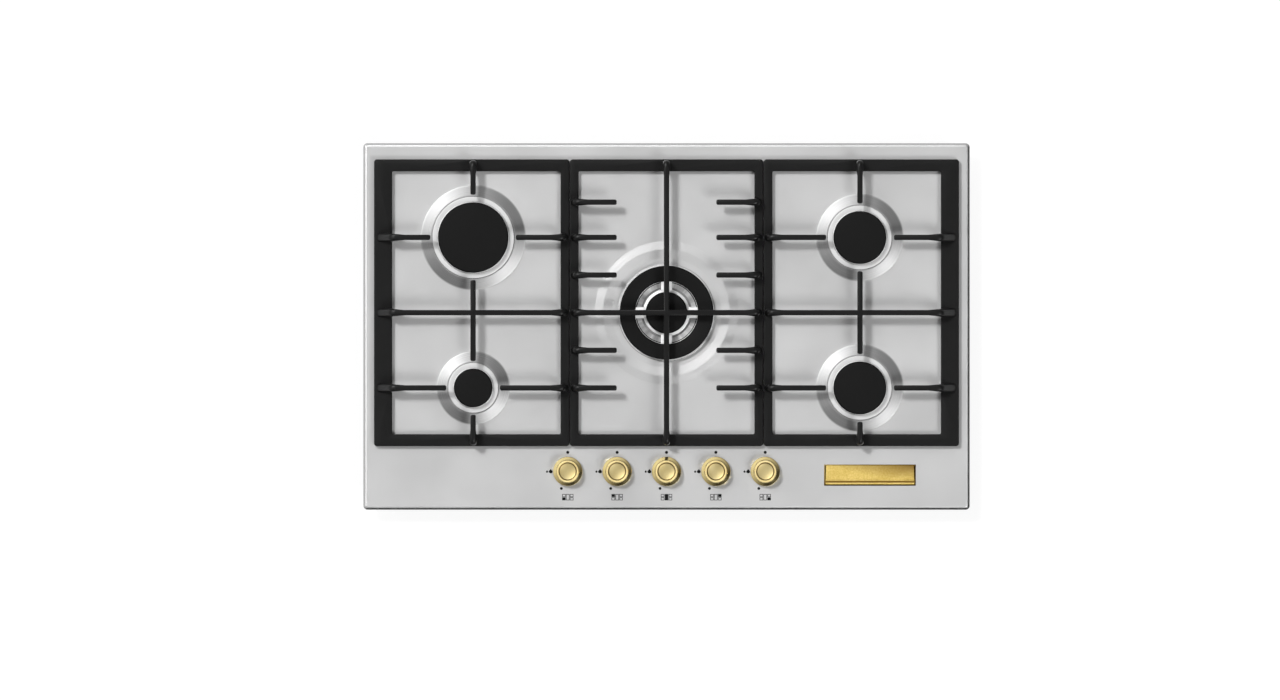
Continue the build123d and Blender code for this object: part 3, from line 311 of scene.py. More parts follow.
def combined(first, others, operation="UNION"):
    """One closed skin from closed meshes that run into each other, or one mesh cut by the others."""
    made = linked("work", first)
    tools = [linked("tool", mesh) for mesh in others]
    for tool in tools:
        change = made.modifiers.new("join", "BOOLEAN")
        change.operation = operation
        change.solver = "MANIFOLD"
        change.object = tool
    graph = bpy.context.evaluated_depsgraph_get()
    result = bpy.data.meshes.new_from_object(made.evaluated_get(graph))
    for used in tools + [made]:
        bpy.data.objects.remove(used)
    return result


def post(radius, low, high, place, count=POST_ROUND):
    """Closed upright cylinder."""
    return turned_mesh([(0, low), (radius, low), (radius, high), (0, high)], place, count)


def probe_posts(name, margin, low, high):
    """A post round each of a burner's two probes, wider than the probe by a margin."""
    posts = []
    reach = cups[name].size[0] / 2 - PROBE_INSET
    for angle, radius in zip(PROBE_ANGLES[name], (ELECTRODE_R, SENSOR_R)):
        turn = radians(angle)
        place = cups[name].middle[:2] + reach * np.array([np.cos(turn), np.sin(turn)])
        posts.append(post(radius + margin, low, high, place))
    return posts


def point_values(mesh, name):
    """Each point's place, in metres, or its normal, one row per point."""
    values = np.empty(len(mesh.vertices) * 3)
    mesh.vertices.foreach_get(name, values)
    return values.reshape(-1, 3)


def axis_reach(mesh, centre):
    """Each point's distance from an upright axis, in millimetres."""
    return np.hypot(*(point_values(mesh, "co")[:, :2] / MM - np.array(centre)[:2]).T)


def mark(mesh, name, values):
    """Stores one number per point, for the finishes to read."""
    mesh.attributes.new(name, "FLOAT", "POINT").data.foreach_set("value", values.astype(np.float32))


def axis_marks(mesh, centre):
    """Marks each point's distance from an upright axis, in metres, and how far its normal leans from it."""
    mark(mesh, "axis_distance", axis_reach(mesh, centre) * MM)
    mark(mesh, "bend", smooth_step(1 - np.abs(point_values(mesh, "normal")[:, 2]), *BEND_RANGE))
    return mesh


# ---------------- finishes

class Wire:
    """An output socket in a finish. Arithmetic on wires adds Math nodes."""

    def __init__(self, finish, socket):
        self.finish = finish
        self.socket = socket

    def __add__(self, other):
        return self.finish.math("ADD", self, other)

    def __sub__(self, other):
        return self.finish.math("SUBTRACT", self, other)

    def __rsub__(self, other):
        return self.finish.math("SUBTRACT", other, self)

    def __mul__(self, other):
        return self.finish.math("MULTIPLY", self, other)

    __radd__ = __add__
    __rmul__ = __mul__


PLATE_TONE = 0.59
PLATE_ROUGH = 0.4
SLOPE_TONE = 0.31
SLOPE_ROUGH = 0.45
FOLD_ROUGH = 0.18
RING_DEPTH = 0.00006
SMUDGE_TONE = 0.012
SMUDGE_ROUGH = 0.02
GROOVE_TONE = 0.14
GRAIN_SCALES = (30.0, 1600.0, 30.0)
SLOPE_BLEND = 1.5
FOLD_BLEND = 0.3

# bands round a knob's axis, in millimetres: start, full, still full, end
GROOVE_SHADE_BAND = (11.2, 11.5, 12.6, 12.9)
CREST_BAND = (12.6, 13.0, 15.1, 15.4)
FLANK_START = (15.4, 15.8)
CREST_ROUGH = 0.12
FLANK_GLOSS = 0.15


class Finish:
    """A procedural finish: node() adds any node, and the other methods are short names for common ones."""

    def __init__(self, name, data=None):
        self.data = data or bpy.data.materials.new(name)
        self.data.use_nodes = True
        self.tree = self.data.node_tree
        self.tree.nodes.clear()

    def node(self, kind, output, inputs, **settings):
        """Adds a node: settings first, then the values or wires of its sockets. Gives the named output."""
        made = self.tree.nodes.new(kind)
        for name, value in settings.items():
            setattr(made, name, value)
        for name, value in inputs.items():
            if isinstance(value, Wire):
                self.tree.links.new(value.socket, made.inputs[name])
            else:
                made.inputs[name].default_value = value
        return Wire(self, made.outputs[output])

    def math(self, operation, first, second=0.0):
        return self.node("ShaderNodeMath", 0, {0: first, 1: second}, operation=operation)

    def place(self, kind="Object"):
        return self.node("ShaderNodeTexCoord", kind, {})

    def axes(self, kind="Object"):
        """The x, y and z of a place."""
        parts = self.node("ShaderNodeSeparateXYZ", "X", {"Vector": self.place(kind)}).socket.node
        return [Wire(self, parts.outputs[axis]) for axis in "XYZ"]

    def stretched(self, scales):
        """Object coordinates multiplied along each axis."""
        return self.node("ShaderNodeMapping", 0, {"Vector": self.place(), "Scale": scales})

    def noise(self, scale, detail=3.0, vector=None, roughness=0.5):
        inputs = {"Vector": vector or self.place(), "Scale": scale, "Detail": detail, "Roughness": roughness}
        return self.node("ShaderNodeTexNoise", 0, inputs)

    def streaks(self, value, scale):
        """Noise along one number, such as the distance from an axis."""
        inputs = {"W": value, "Scale": scale, "Detail": 3.0}
        return self.node("ShaderNodeTexNoise", 0, inputs, noise_dimensions="1D")

    def marked(self, name):
        """A number stored with each point of the mesh."""
        return self.node("ShaderNodeAttribute", "Fac", {}, attribute_name=name)

    def path(self, output):
        """What is known of the ray: its length, or 1 for its kind."""
        return self.node("ShaderNodeLightPath", output, {})

    def between(self, value, low, high, from_low=0.0, from_high=1.0):
        """A number carried from one range to another, clamped."""
        inputs = {"Value": value, "From Min": from_low, "From Max": from_high, "To Min": low, "To Max": high}
        return self.node("ShaderNodeMapRange", 0, inputs)

    def band(self, value, start, full, last, end):
        """1 from full to last, 0 before start and past end, straight between them. All in millimetres."""
        rising = self.between(value, 0.0, 1.0, start * MM, full * MM)
        return rising * self.between(value, 1.0, 0.0, last * MM, end * MM)

    def mixed(self, share, first, second):
        """Colour between two colours."""
        return self.node("ShaderNodeMix", 2, {0: share, 6: first, 7: second}, data_type="RGBA")

    def bump(self, height, distance, strength=0.5):
        inputs = {"Height": height, "Distance": distance, "Strength": strength}
        return self.node("ShaderNodeBump", 0, inputs)

    def closed(self, shader, kind="ShaderNodeOutputMaterial"):
        """Ends the finish with a shader, and gives its material or world."""
        output = self.tree.nodes.new(kind)
        self.tree.links.new(shader.socket, output.inputs["Surface"])
        return self.data

    def done(self, **inputs):
        """Ends the finish with the principled shader, whose sockets the arguments name."""
        names = {name.replace("_", " "): value for name, value in inputs.items()}
        return self.closed(self.node("ShaderNodeBsdfPrincipled", 0, names))


def grey(level):
    return (level, level, level, 1.0)


def satin_stainless():
    """Stainless sheet: straight fine grain on the flats, turned grooves on the slopes, soft smudges."""
    finish = Finish("satin_stainless")
    straight = finish.noise(1.0, 3.0, finish.stretched(GRAIN_SCALES), 0.6)
    across, along, _ = finish.axes()
    slopes, rings = 0.0, 0.0
    for name, cup in cups.items():
        dx = across - cup.middle[0] * MM
        dy = along - cup.middle[1] * MM
        distance = finish.math("SQRT", dx * dx + dy * dy)
        foot = RIDGE_OUTER_R if name == "triple" else cup.size[0] / 2 + BOSS_MARGIN + BOSS_SLOPE
        inside = finish.between(distance, 1.0, 0.0, (foot - SLOPE_BLEND) * MM, (foot + SLOPE_BLEND) * MM)
        rings = finish.streaks(distance, 1500.0) * inside + rings
        if name != "triple":
            slopes = inside + slopes
    grain = straight * (1 - slopes) * 0.3 + rings
    smudge = finish.noise(9.0, 4.0)
    plain = finish.mixed(smudge, grey(PLATE_TONE - SMUDGE_TONE), grey(PLATE_TONE + SMUDGE_TONE))
    spun = finish.mixed(rings, grey(SLOPE_TONE - GROOVE_TONE), grey(SLOPE_TONE + GROOVE_TONE))
    rough = finish.between(smudge, PLATE_ROUGH - SMUDGE_ROUGH, PLATE_ROUGH + SMUDGE_ROUGH, 0.3, 0.7)
    past_x = finish.math("ABSOLUTE", across) - (plate.size[0] / 2 - FOLD_BREAK) * MM
    past_y = finish.math("ABSOLUTE", along) - (plate.size[1] / 2 - FOLD_BREAK) * MM
    past = finish.math("MAXIMUM", past_x, past_y)
    fold = finish.between(past, 0.0, 1.0, -FOLD_BLEND * MM, FOLD_BLEND * MM)
    return finish.done(
        Base_Color=finish.mixed(slopes, plain, spun),
        Metallic=1.0,
        Roughness=rough + slopes * (SLOPE_ROUGH - PLATE_ROUGH) + fold * (FOLD_ROUGH - PLATE_ROUGH),
        Normal=finish.bump(grain, RING_DEPTH, 1.0),
    )


def polished_brass():
    """Lathe-turned brass under lacquer: fine rings round its axis, a little tarnish, and painted shade, dark
    brown, in the groove.
    """
    finish = Finish("polished_brass")
    distance = finish.marked("axis_distance")
    tarnish = finish.noise(70.0, 4.0)
    flank = finish.between(distance, 0.0, FLANK_GLOSS, FLANK_START[0] * MM, FLANK_START[1] * MM)
    crest = finish.band(distance, *CREST_BAND) * CREST_ROUGH
    clean = finish.mixed(tarnish, (0.8, 0.62, 0.25, 1.0), (0.87, 0.74, 0.4, 1.0))
    return finish.done(
        # the groove's band is painted dark brown: painted shade in the groove
        Base_Color=finish.mixed(finish.band(distance, *GROOVE_SHADE_BAND), clean, (0.2, 0.13, 0.04, 1.0)),
        Metallic=1.0,
        Roughness=finish.between(tarnish, 0.31, 0.35) + crest - flank,
        Normal=finish.bump(finish.streaks(distance, 2600.0), 0.00001),
        Coat_Weight=0.15,
        Coat_Roughness=0.12,
    )


def cast_badge_brass():
    """Cast brass with a stippled ground: light grains, and a browner tone between them. Dark brown where
    marked: patina and painted shade in the band's groove, painted shade along the front and right edges.
    """
    finish = Finish("cast_badge_brass")
    grains = finish.noise(420.0)
    patches = finish.noise(45.0)
    tone = finish.between(grains * 0.6 + patches * 0.4, 0.0, 1.0, 0.35, 0.65)
    ground = finish.mixed(tone, (0.54, 0.39, 0.1, 1.0), (0.7, 0.54, 0.19, 1.0))
    return finish.done(
        # dark brown where marked: patina and painted shade in the groove, painted shade on the front and
        # right edges
        Base_Color=finish.mixed(finish.marked("patina_and_painted_shade"), ground, (0.2, 0.12, 0.03, 1.0)),
        Metallic=1.0,
        Roughness=finish.between(patches, 0.5, 0.58),
        Normal=finish.bump(grains, 0.0003),
    )


def turned_aluminium(name, tone, rough):
    """Die-cast aluminium with a turned face and bright, worn edges, and near black where marked: soot and
    painted shade.
    """
    finish = Finish(name)
    rings = finish.streaks(finish.marked("axis_distance"), 1800.0)
    grains = finish.noise(1500.0, 2.0)
    shade = finish.noise(60.0)
    clean = finish.mixed(shade, grey(tone - 0.04), grey(tone + 0.03))
    return finish.done(
        # near black where marked, inside the triple cup: soot, and painted shade where the crown's gaps look
        # down into it
        Base_Color=finish.mixed(finish.marked("soot_and_painted_shade"), clean, grey(0.03)),
        Metallic=1.0,
        Roughness=finish.between(shade, rough, rough + 0.06) - finish.marked("bend") * (rough - 0.22),
        Normal=finish.bump(rings + grains * 0.4, 0.00002),
    )


def triple_aluminium():
    """Die-cast aluminium: machined hub and bridges, and a cast skin on the sunken arcs with painted
    highlights, bright and dark streaks by angle.
    """
    finish = Finish("triple_aluminium")
    across, along, _ = finish.axes()
    highlight_streaks = finish.streaks(finish.math("ARCTAN2", along - cups["triple"].middle[1] * MM, across), 2.2)
    shade = finish.noise(60.0)
    skin = finish.marked("cast_skin")
    machined = finish.mixed(shade, grey(0.78), grey(0.86))
    # painted highlights: bright and dark streaks by angle on the cast skin
    streaked = finish.mixed(finish.between(highlight_streaks, 0.0, 1.0, 0.35, 0.65), grey(0.34), grey(0.86))
    # near black at the bore's rim: painted shade beside the ring cap, and soot
    cast = finish.mixed(finish.marked("soot_and_painted_shade"), streaked, grey(0.02))
    return finish.done(
        Base_Color=finish.mixed(skin, machined, cast),
        Metallic=1.0,
        Roughness=finish.between(shade, 0.4, 0.46) + skin * 0.22,
        Normal=finish.bump(finish.noise(1500.0, 2.0), 0.00002),
    )


def black_enamel():
    """Satin black vitreous enamel: orange peel and fine specks."""
    finish = Finish("black_enamel")
    peel = finish.noise(420.0)
    specks = finish.between(finish.noise(2400.0, 1.0), 0.0, 1.0, 0.6, 0.75)
    return finish.done(
        Base_Color=finish.mixed(specks, grey(0.005), grey(0.011)),
        Roughness=finish.between(peel, 0.38, 0.5),
        Specular_IOR_Level=0.1,
        Normal=finish.bump(peel, 0.00006),
    )


def enamelled_iron():
    """Cast iron under matt black enamel: sand-cast grain, softened by the enamel."""
    finish = Finish("enamelled_iron")
    sand = finish.noise(650.0, 4.0)
    waves = finish.noise(60.0)
    return finish.done(
        Base_Color=finish.mixed(waves, grey(0.004), grey(0.007)),
        Roughness=finish.between(sand, 0.27, 0.4),
        Specular_IOR_Level=0.22,
        Normal=finish.bump(sand + waves * 2.0, 0.00008),
    )


def galvanised_sheet():
    """Zinc-coated sheet with a faint spangle."""
    finish = Finish("galvanised_sheet")
    cells = finish.node("ShaderNodeTexVoronoi", "Color", {"Vector": finish.place(), "Scale": 110.0})
    tone = finish.node("ShaderNodeRGBToBW", 0, {"Color": cells})
    streak = finish.noise(25.0, 5.0)
    return finish.done(
        Base_Color=finish.mixed(tone, (0.44, 0.45, 0.47, 1.0), (0.62, 0.63, 0.64, 1.0)),
        Metallic=1.0,
        Roughness=finish.between(tone * 0.6 + streak * 0.4, 0.34, 0.56),
        Normal=finish.bump(finish.noise(700.0, 2.0), 0.00002, 0.4),
    )


def plain_metal(name, low, high, rough_low, rough_high):
    """Machined or drawn metal: colour and roughness drift, with a fine grain."""
    finish = Finish(name)
    drift = finish.noise(120.0, 4.0)
    return finish.done(
        Base_Color=finish.mixed(drift, (*low, 1.0), (*high, 1.0)),
        Metallic=1.0,
        Roughness=finish.between(drift, rough_low, rough_high),
        Normal=finish.bump(finish.noise(900.0), 0.00002),
    )


def moulded(name, low, high, rough, grain, depth, gloss=0.5):
    """Moulded rubber, foam, plastic or glazed ceramic: nearly one colour, with its own surface grain."""
    finish = Finish(name)
    skin = finish.noise(grain)
    return finish.done(
        Base_Color=finish.mixed(finish.noise(40.0), (*low, 1.0), (*high, 1.0)),
        Roughness=finish.between(skin, rough - 0.06, rough + 0.06),
        Specular_IOR_Level=gloss,
        Normal=finish.bump(skin, depth),
    )


# name, darker colour, paler colour, lowest and highest roughness
METALS = (
    ("plain_brass", (0.55, 0.39, 0.16), (0.68, 0.5, 0.24), 0.26, 0.42),
    ("zinc_steel", (0.5, 0.51, 0.53), (0.62, 0.62, 0.6), 0.28, 0.44),
    ("spindle_steel", (0.45, 0.45, 0.45), (0.56, 0.56, 0.55), 0.22, 0.34),
    ("sensor_steel", (0.42, 0.36, 0.3), (0.56, 0.5, 0.42), 0.3, 0.46),
    ("drawn_aluminium", (0.62, 0.62, 0.62), (0.74, 0.74, 0.74), 0.28, 0.42),
)
# name, darker colour, paler colour, roughness, scale of the grain, its depth in metres, gloss
MOULDINGS = (
    ("seal_foam", (0.03, 0.03, 0.03), (0.05, 0.05, 0.05), 0.85, 1400.0, 0.0003, 0.2),
    ("black_rubber", (0.012, 0.012, 0.012), (0.02, 0.02, 0.02), 0.65, 1600.0, 0.00004, 0.3),
    ("black_plastic", (0.012, 0.012, 0.013), (0.018, 0.018, 0.02), 0.45, 1800.0, 0.00004),
    ("white_ceramic", (0.74, 0.71, 0.66), (0.82, 0.8, 0.77), 0.25, 500.0, 0.00003),
    ("wire_insulation", (0.02, 0.02, 0.02), (0.03, 0.03, 0.032), 0.5, 900.0, 0.00004),
)

finishes = {
    "satin_stainless": satin_stainless(),
    "polished_brass": polished_brass(),
    "cast_badge_brass": cast_badge_brass(),
    "cast_aluminium": turned_aluminium("cast_aluminium", 0.62, 0.58),
    "crown_aluminium": turned_aluminium("crown_aluminium", 0.66, 0.5),
    "triple_aluminium": triple_aluminium(),
    "black_enamel": black_enamel(),
    "enamelled_iron": enamelled_iron(),
    "galvanised_sheet": galvanised_sheet(),
}
finishes.update({row[0]: plain_metal(*row) for row in METALS})
finishes.update({row[0]: moulded(*row) for row in MOULDINGS})


# ---------------- stainless top plate

def with_strips(line):
    """One more point near each end of a polyline, so that the bend beyond it shades only a narrow strip."""
    share = STRIP / np.linalg.norm(line[[1, -1]] - line[[0, -2]], axis=1)
    first = line[0] + (line[1] - line[0]) * share[0]
    last = line[-1] + (line[-2] - line[-1]) * share[1]
    return np.vstack([line[:1], [first], line[1:-1], [last], line[-1:]])


def boss_profile(top_r, hole_r):
    """Boss from the cup's hole out to the sheet: level, then a straight slope with soft bends at its ends."""
    foot_r = top_r + BOSS_SLOPE
    corners = [
        (hole_r, PLATE_TOP + BOSS_RISE),
        (top_r, PLATE_TOP + BOSS_RISE),
        (foot_r, PLATE_TOP),
        (foot_r + LAND, PLATE_TOP),
    ]
    return with_strips(soft_corners(corners, (0, BOSS_TOP_R, BOSS_FOOT_R, 0), 10))


def ridge_profile(hole_r):
    """Ridge round the triple burner: two straight slopes that meet in a soft crest."""
    corners = [
        (hole_r, PLATE_TOP),
        (RIDGE_INNER_R, PLATE_TOP),
        (RIDGE_CREST_R, PLATE_TOP + RIDGE_RISE),
        (RIDGE_OUTER_R, PLATE_TOP),
        (RIDGE_OUTER_R + LAND, PLATE_TOP),
    ]
    return with_strips(soft_corners(corners, (0, RIDGE_SOFT_R, RIDGE_SOFT_R, RIDGE_SOFT_R, 0), 12))


def make_plate():
    """Sheet with a folded edge: a level field, the pressings as turned profiles, the fold carried round."""
    skin = Surface()
    outline, normals = rounded_outline(plate.size[0], plate.size[1], PLATE_CORNER_R)
    flat_start = FIELD_START - PLATE_CORNER_R
    fold = [
        (flat_start, PLATE_TOP), (-FOLD_START, PLATE_TOP), (-FOLD_BREAK, PLATE_TOP - FOLD_BREAK_DROP),
        (0, PLATE_TOP - FOLD_DROP), (0, SKIRT_LOW),
    ]
    skin.carried(outline, normals, with_strips(soft_corners(fold, (0, 2.0, 0.8, 0.5, 0))))
    holes = []
    for name, cup in cups.items():
        flange_r = cup.size[0] / 2
        hole_r = flange_r - CUP_NECK_INSET
        profile = ridge_profile(hole_r) if name == "triple" else boss_profile(flange_r + BOSS_MARGIN, hole_r)
        skin.turned(profile, cup.middle)
        holes.append(circle(profile[-1, 0], ROUND, cup.middle))
    for knob in knobs.values():
        collar = [(KNOB_HOLE_R + step * STRIP, PLATE_TOP) for step in range(3)]
        skin.turned(collar, knob.middle, HOLE_ROUND)
        holes.append(circle(collar[-1][0], HOLE_ROUND, knob.middle))
    skin.flat(outline + flat_start * normals, holes, PLATE_TOP)
    mesh = skin.mesh(PLATE_SHARP)
    made = piece("plate_shell", mesh, "root", "satin_stainless", ["top_plate"])
    if sum(face.normal.z * face.area for face in mesh.polygons) < 0:
        mesh.flip_normals()
    wall = made.modifiers.new("sheet", "SOLIDIFY")
    wall.thickness = PLATE_SHEET * MM
    wall.offset = -1.0


make_plate()

STUD_R = 2.0
STUD_LENGTH = 7.0
STUD_PLACES = [(x, y) for x in (-266, 0, 266) for y in (-232, 232)] + [(-406, 0), (406, 0)]
THREAD_STEP = 0.35
THREAD_DEPTH = 0.22
THREAD_GAP = 0.02
THREAD_START = 0.5
THREAD_END = 1.0


def make_studs():
    """Threaded studs welded under the plate's rim: a chamfered tip and ridges of triangular section."""
    high = PLATE_TOP - PLATE_SHEET / 2
    low = PLATE_TOP - PLATE_SHEET - STUD_LENGTH
    turns = np.arange(low + THREAD_START, high - THREAD_END, THREAD_STEP)
    depth = np.where(np.arange(len(turns)) % 2, 0.0, THREAD_DEPTH)
    side_r = STUD_R - THREAD_GAP
    thread = np.column_stack([side_r - depth, turns])
    profile = np.vstack([[(0, low), (STUD_R - THREAD_START, low)], thread, [(side_r, high), (0, high)]])
    skin = Surface()
    for place in STUD_PLACES:
        skin.turned(profile, place, THREAD_ROUND)
    piece("plate_studs", skin.mesh(), "root", "satin_stainless", (), "zinc_steel")


make_studs()

# ---------------- pan supports

Bar = namedtuple("Bar", "width lean inset knuckle")
END_BAR = Bar(17.0, 2.0, 1.0, 11.0)
INNER_BAR = Bar(12.4, 6.0, 1.0, 11.4)
OUTER_BAR = Bar(25.7, 24.0, 3.0, 13.4)
FRAME_CORNER_R = 4.0
WINDOW_CORNER_R = 2.5
FRAME_EDGE_R = 1.1
FRAME_HEIGHT = 8.0
FINGER_WIDTH = 7.6
FINGER_DEPTH = 10.0
FINGER_EDGE_R = 1.2
KNUCKLE_EDGE_R = 5.0
LEG_TOP = 14.0
LEG_RUN = 6.0
LEG_TOP_SOFT = 5.0
LEG_FOOT_SOFT = 7.0
LEG_TAPER = 0.8
LEG_EDGE_RANGE = (0.2, 1.0)
LEG_FOOT_INSET = 0.5
TIP_R = 2.4
SHORT_TIP_X = 70.5
SHORT_REAR_Y = 176.0
TIP_GAP = 10.5

FRAME_LOW = supports["left"].low[2]
FRAME_TOP = FRAME_LOW + FRAME_HEIGHT
PAN_TOP = supports["left"].high[2]
SINK = 1.5


def support_frame(box, left_bar, right_bar):
    """Flat frame: a closed profile between the window's outline and the outer one, with rounded top edges."""
    outer, outer_normals = rounded_outline(box.size[0], box.size[1], FRAME_CORNER_R)
    window_length = box.size[0] - left_bar.width - right_bar.width
    window_depth = box.size[1] - 2 * END_BAR.width
    inner, inner_normals = rounded_outline(window_length, window_depth, WINDOW_CORNER_R)
    inner = inner + np.array([(left_bar.width - right_bar.width) / 2, 0])
    rise = soft_corners([(0, FRAME_LOW), (0, FRAME_TOP), (-4, FRAME_TOP)], (0, FRAME_EDGE_R, 0), 5)[:-1]
    rings = [np.insert(outer + offset * outer_normals, 2, height, axis=1) for offset, height in rise]
    rings += [np.insert(inner - offset * inner_normals, 2, height, axis=1) for offset, height in rise[::-1]]
    rings = np.array(rings) + np.array([box.middle[0], box.middle[1], 0])
    return Surface().grid(rings, wrap_rows=True, wrap_columns=True).mesh()


def section_rings(top, bottom, half_width, edge_r, steps=4):
    """Four-sided sections with round edges. Each lies in the plane through its top and bottom point and Y.

    A section's edge point is the edge's centre plus edge_r * (cos a, sin a), a quarter turn for each edge."""
    rise = top - bottom
    height = np.linalg.norm(rise, axis=1)
    upward = rise / height[:, None]
    radius = np.minimum(edge_r, np.minimum(half_width, height / 2) * 0.98)
    quarter = np.linspace(0, pi / 2, steps + 1)
    across, along = [], []
    for number, (side, level) in enumerate([(1, 0), (1, 1), (-1, 1), (-1, 0)]):
        angle = quarter + (number - 1) * pi / 2
        across.append(side * (half_width - radius)[:, None] + radius[:, None] * np.cos(angle))
        along.append(np.where(level, height - radius, radius)[:, None] + radius[:, None] * np.sin(angle))
    across, along = np.hstack(across), np.hstack(along)
    flat = bottom[:, None] + upward[:, None] * along[..., None]
    return np.stack([flat[..., 0], across, flat[..., 1]], axis=-1)


def leg_stations(bar, count=14):
    """Top and bottom line of a leg from the frame up to the level bar, and its half width and edge radius."""
    low = PAN_TOP - FINGER_DEPTH
    reach = bar.lean + LEG_TOP + LEG_RUN
    base = FRAME_TOP - SINK
    top = [(bar.inset, base), (bar.lean, PAN_TOP), (reach, PAN_TOP)]
    bottom = [(bar.width - LEG_FOOT_INSET, base), (bar.lean + LEG_TOP, low), (reach, low)]
    share = np.linspace(0, 1, count)
    top = resampled(soft_corners(top, (0, LEG_TOP_SOFT, 0), 8), share)
    bottom = resampled(soft_corners(bottom, (0, LEG_FOOT_SOFT, 0), 8), share)
    blend = np.clip((top[:, 0] - bar.inset) / (reach - bar.inset), 0, 1) ** LEG_TAPER
    half = bar.knuckle / 2 + (FINGER_WIDTH - bar.knuckle) / 2 * blend
    edge = KNUCKLE_EDGE_R + (FINGER_EDGE_R - KNUCKLE_EDGE_R) * smooth_step(blend, *LEG_EDGE_RANGE)
    return top, bottom, half, edge


def tip_stations(reach, count=6):
    """A level bar's free end: its width and height draw in along a quarter ellipse."""
    low = PAN_TOP - FINGER_DEPTH
    angle = np.linspace(0, pi / 2, count)
    ahead = reach - TIP_R * (1 - np.sin(angle))
    drawn = 1 - np.cos(angle)
    top = np.stack([ahead, PAN_TOP - FINGER_EDGE_R * drawn], axis=-1)
    bottom = np.stack([ahead, low + FINGER_EDGE_R * drawn], axis=-1)
    half = FINGER_WIDTH / 2 - TIP_R * drawn
    return top, bottom, half, np.full(count, FINGER_EDGE_R)


def mirrored(stations, span):
    """The same stations seen from the other end of a bar of the given span."""
    top, bottom, half, edge = stations
    flip = np.array([-1, 1])
    shift = np.array([span, 0])
    return (top * flip + shift)[::-1], (bottom * flip + shift)[::-1], half[::-1], edge[::-1]


def bar_mesh(ends, origin, turn):
    """A bar through its end stations, closed at both ends, turned about Z and moved to its place."""
    top, bottom, half, edge = (np.concatenate(parts) for parts in zip(*ends))
    rings = section_rings(top, bottom, half, edge)
    first = np.broadcast_to(rings[0].mean(axis=0), rings[:1].shape)
    last = np.broadcast_to(rings[-1].mean(axis=0), rings[:1].shape)
    rings = np.concatenate([first, rings, last])
    angle = radians(turn)
    spin = np.array([[np.cos(angle), np.sin(angle), 0], [-np.sin(angle), np.cos(angle), 0], [0, 0, 1]])
    rings = rings @ spin + np.array([origin[0], origin[1], 0])
    return Surface().grid(rings, wrap_columns=True).mesh(SOFT_ANGLE)


def finger(bar, length, origin, turn):
    """A bar that stands on the frame with one end and stops free with the other."""
    return bar_mesh([leg_stations(bar), tip_stations(length)], origin, turn)


def bridge(low_bar, high_bar, span, origin, turn):
    """A bar that stands on the frame with both ends."""
    return bar_mesh([leg_stations(low_bar), mirrored(leg_stations(high_bar), span)], origin, turn)


def free_bar(length, origin, turn):
    """A level bar with two free ends."""
    return bar_mesh([mirrored(tip_stations(length), length), tip_stations(length)], origin, turn)


def side_support_bars(box, outer_x, inner_x, rear, front):
    """Bars of a side support: a bridge, the spine, and three fingers round each burner."""
    middle_y = (rear.middle[1] + front.middle[1]) / 2
    inward = 0 if inner_x > outer_x else 180
    span = abs(inner_x - outer_x)
    bars = [bridge(OUTER_BAR, INNER_BAR, span, (outer_x, middle_y), inward)]
    spine_low = front.high[1] + TIP_GAP
    spine_high = rear.low[1] - TIP_GAP
    bars.append(free_bar(spine_high - spine_low, (rear.middle[0], spine_low), 90))
    for cap, end_y in ((rear, box.high[1]), (front, box.low[1])):
        x, y = cap.middle[:2]
        stop = cap.size[0] / 2 + TIP_GAP
        bars.append(finger(OUTER_BAR, abs(x - outer_x) - stop, (outer_x, y), inward))
        bars.append(finger(INNER_BAR, abs(x - inner_x) - stop, (inner_x, y), inward + 180))
        bars.append(finger(END_BAR, abs(end_y - y) - stop, (x, end_y), -90 if end_y > y else 90))
    return bars


def middle_support_bars(box):
    """Bars of the middle support: a cross over the triple burner and five short fingers on each side."""
    x, y = cups["triple"].middle[:2]
    bars = [
        bridge(INNER_BAR, INNER_BAR, box.size[0], (box.low[0], y), 0),
        bridge(END_BAR, END_BAR, box.size[1], (x, box.low[1]), 90),
    ]
    half_pitch = (caps["rapid"].middle[1] - y) / 2
    rows = [y + step * half_pitch for step in (-2, -1, 1, 2)] + [SHORT_REAR_Y]
    length = box.size[0] / 2 - SHORT_TIP_X
    for row in rows:
        bars.append(finger(INNER_BAR, length, (box.low[0], row), 0))
        bars.append(finger(INNER_BAR, length, (box.high[0], row), 180))
    return bars


def make_supports():
    for side, box in supports.items():
        left, right = box.low[0], box.high[0]
        if side == "left":
            bars = side_support_bars(box, left, right, caps["rapid"], caps["small"])
            skin = support_frame(box, OUTER_BAR, INNER_BAR)
        elif side == "right":
            bars = side_support_bars(box, right, left, caps["medium_rear"], caps["medium_front"])
            skin = support_frame(box, INNER_BAR, OUTER_BAR)
        else:
            bars = middle_support_bars(box)
            skin = support_frame(box, INNER_BAR, INNER_BAR)
        mesh = smoothed(combined(skin, bars), SOFT_ANGLE)
        node = f"pan_support_{side}"
        piece(f"cast_support_{side}", mesh, node, "enamelled_iron", [node])


make_supports()

# ---------------- burner cups

FLANGE_EDGE_R = 1.3
NECK_DEPTH = 8.0
NECK_WALL = 2.0
NECK_CLEARANCE = 0.3
WELL_R = 10.5
WELL_WALL = 2.5
WELL_BLOCK = 12.0
STUB_R = 5.0
STUB_BORE_R = 2.2
STUB_LENGTH = 8.0
STUB_RISE = 6.0
STUB_BORE_DEPTH = 6.0
# inside this reach the triple cup is painted near black: soot, and painted shade seen down through the
# crown's gaps
SOOT_AND_SHADE_R = 48.0
OVERLAP = 1.0


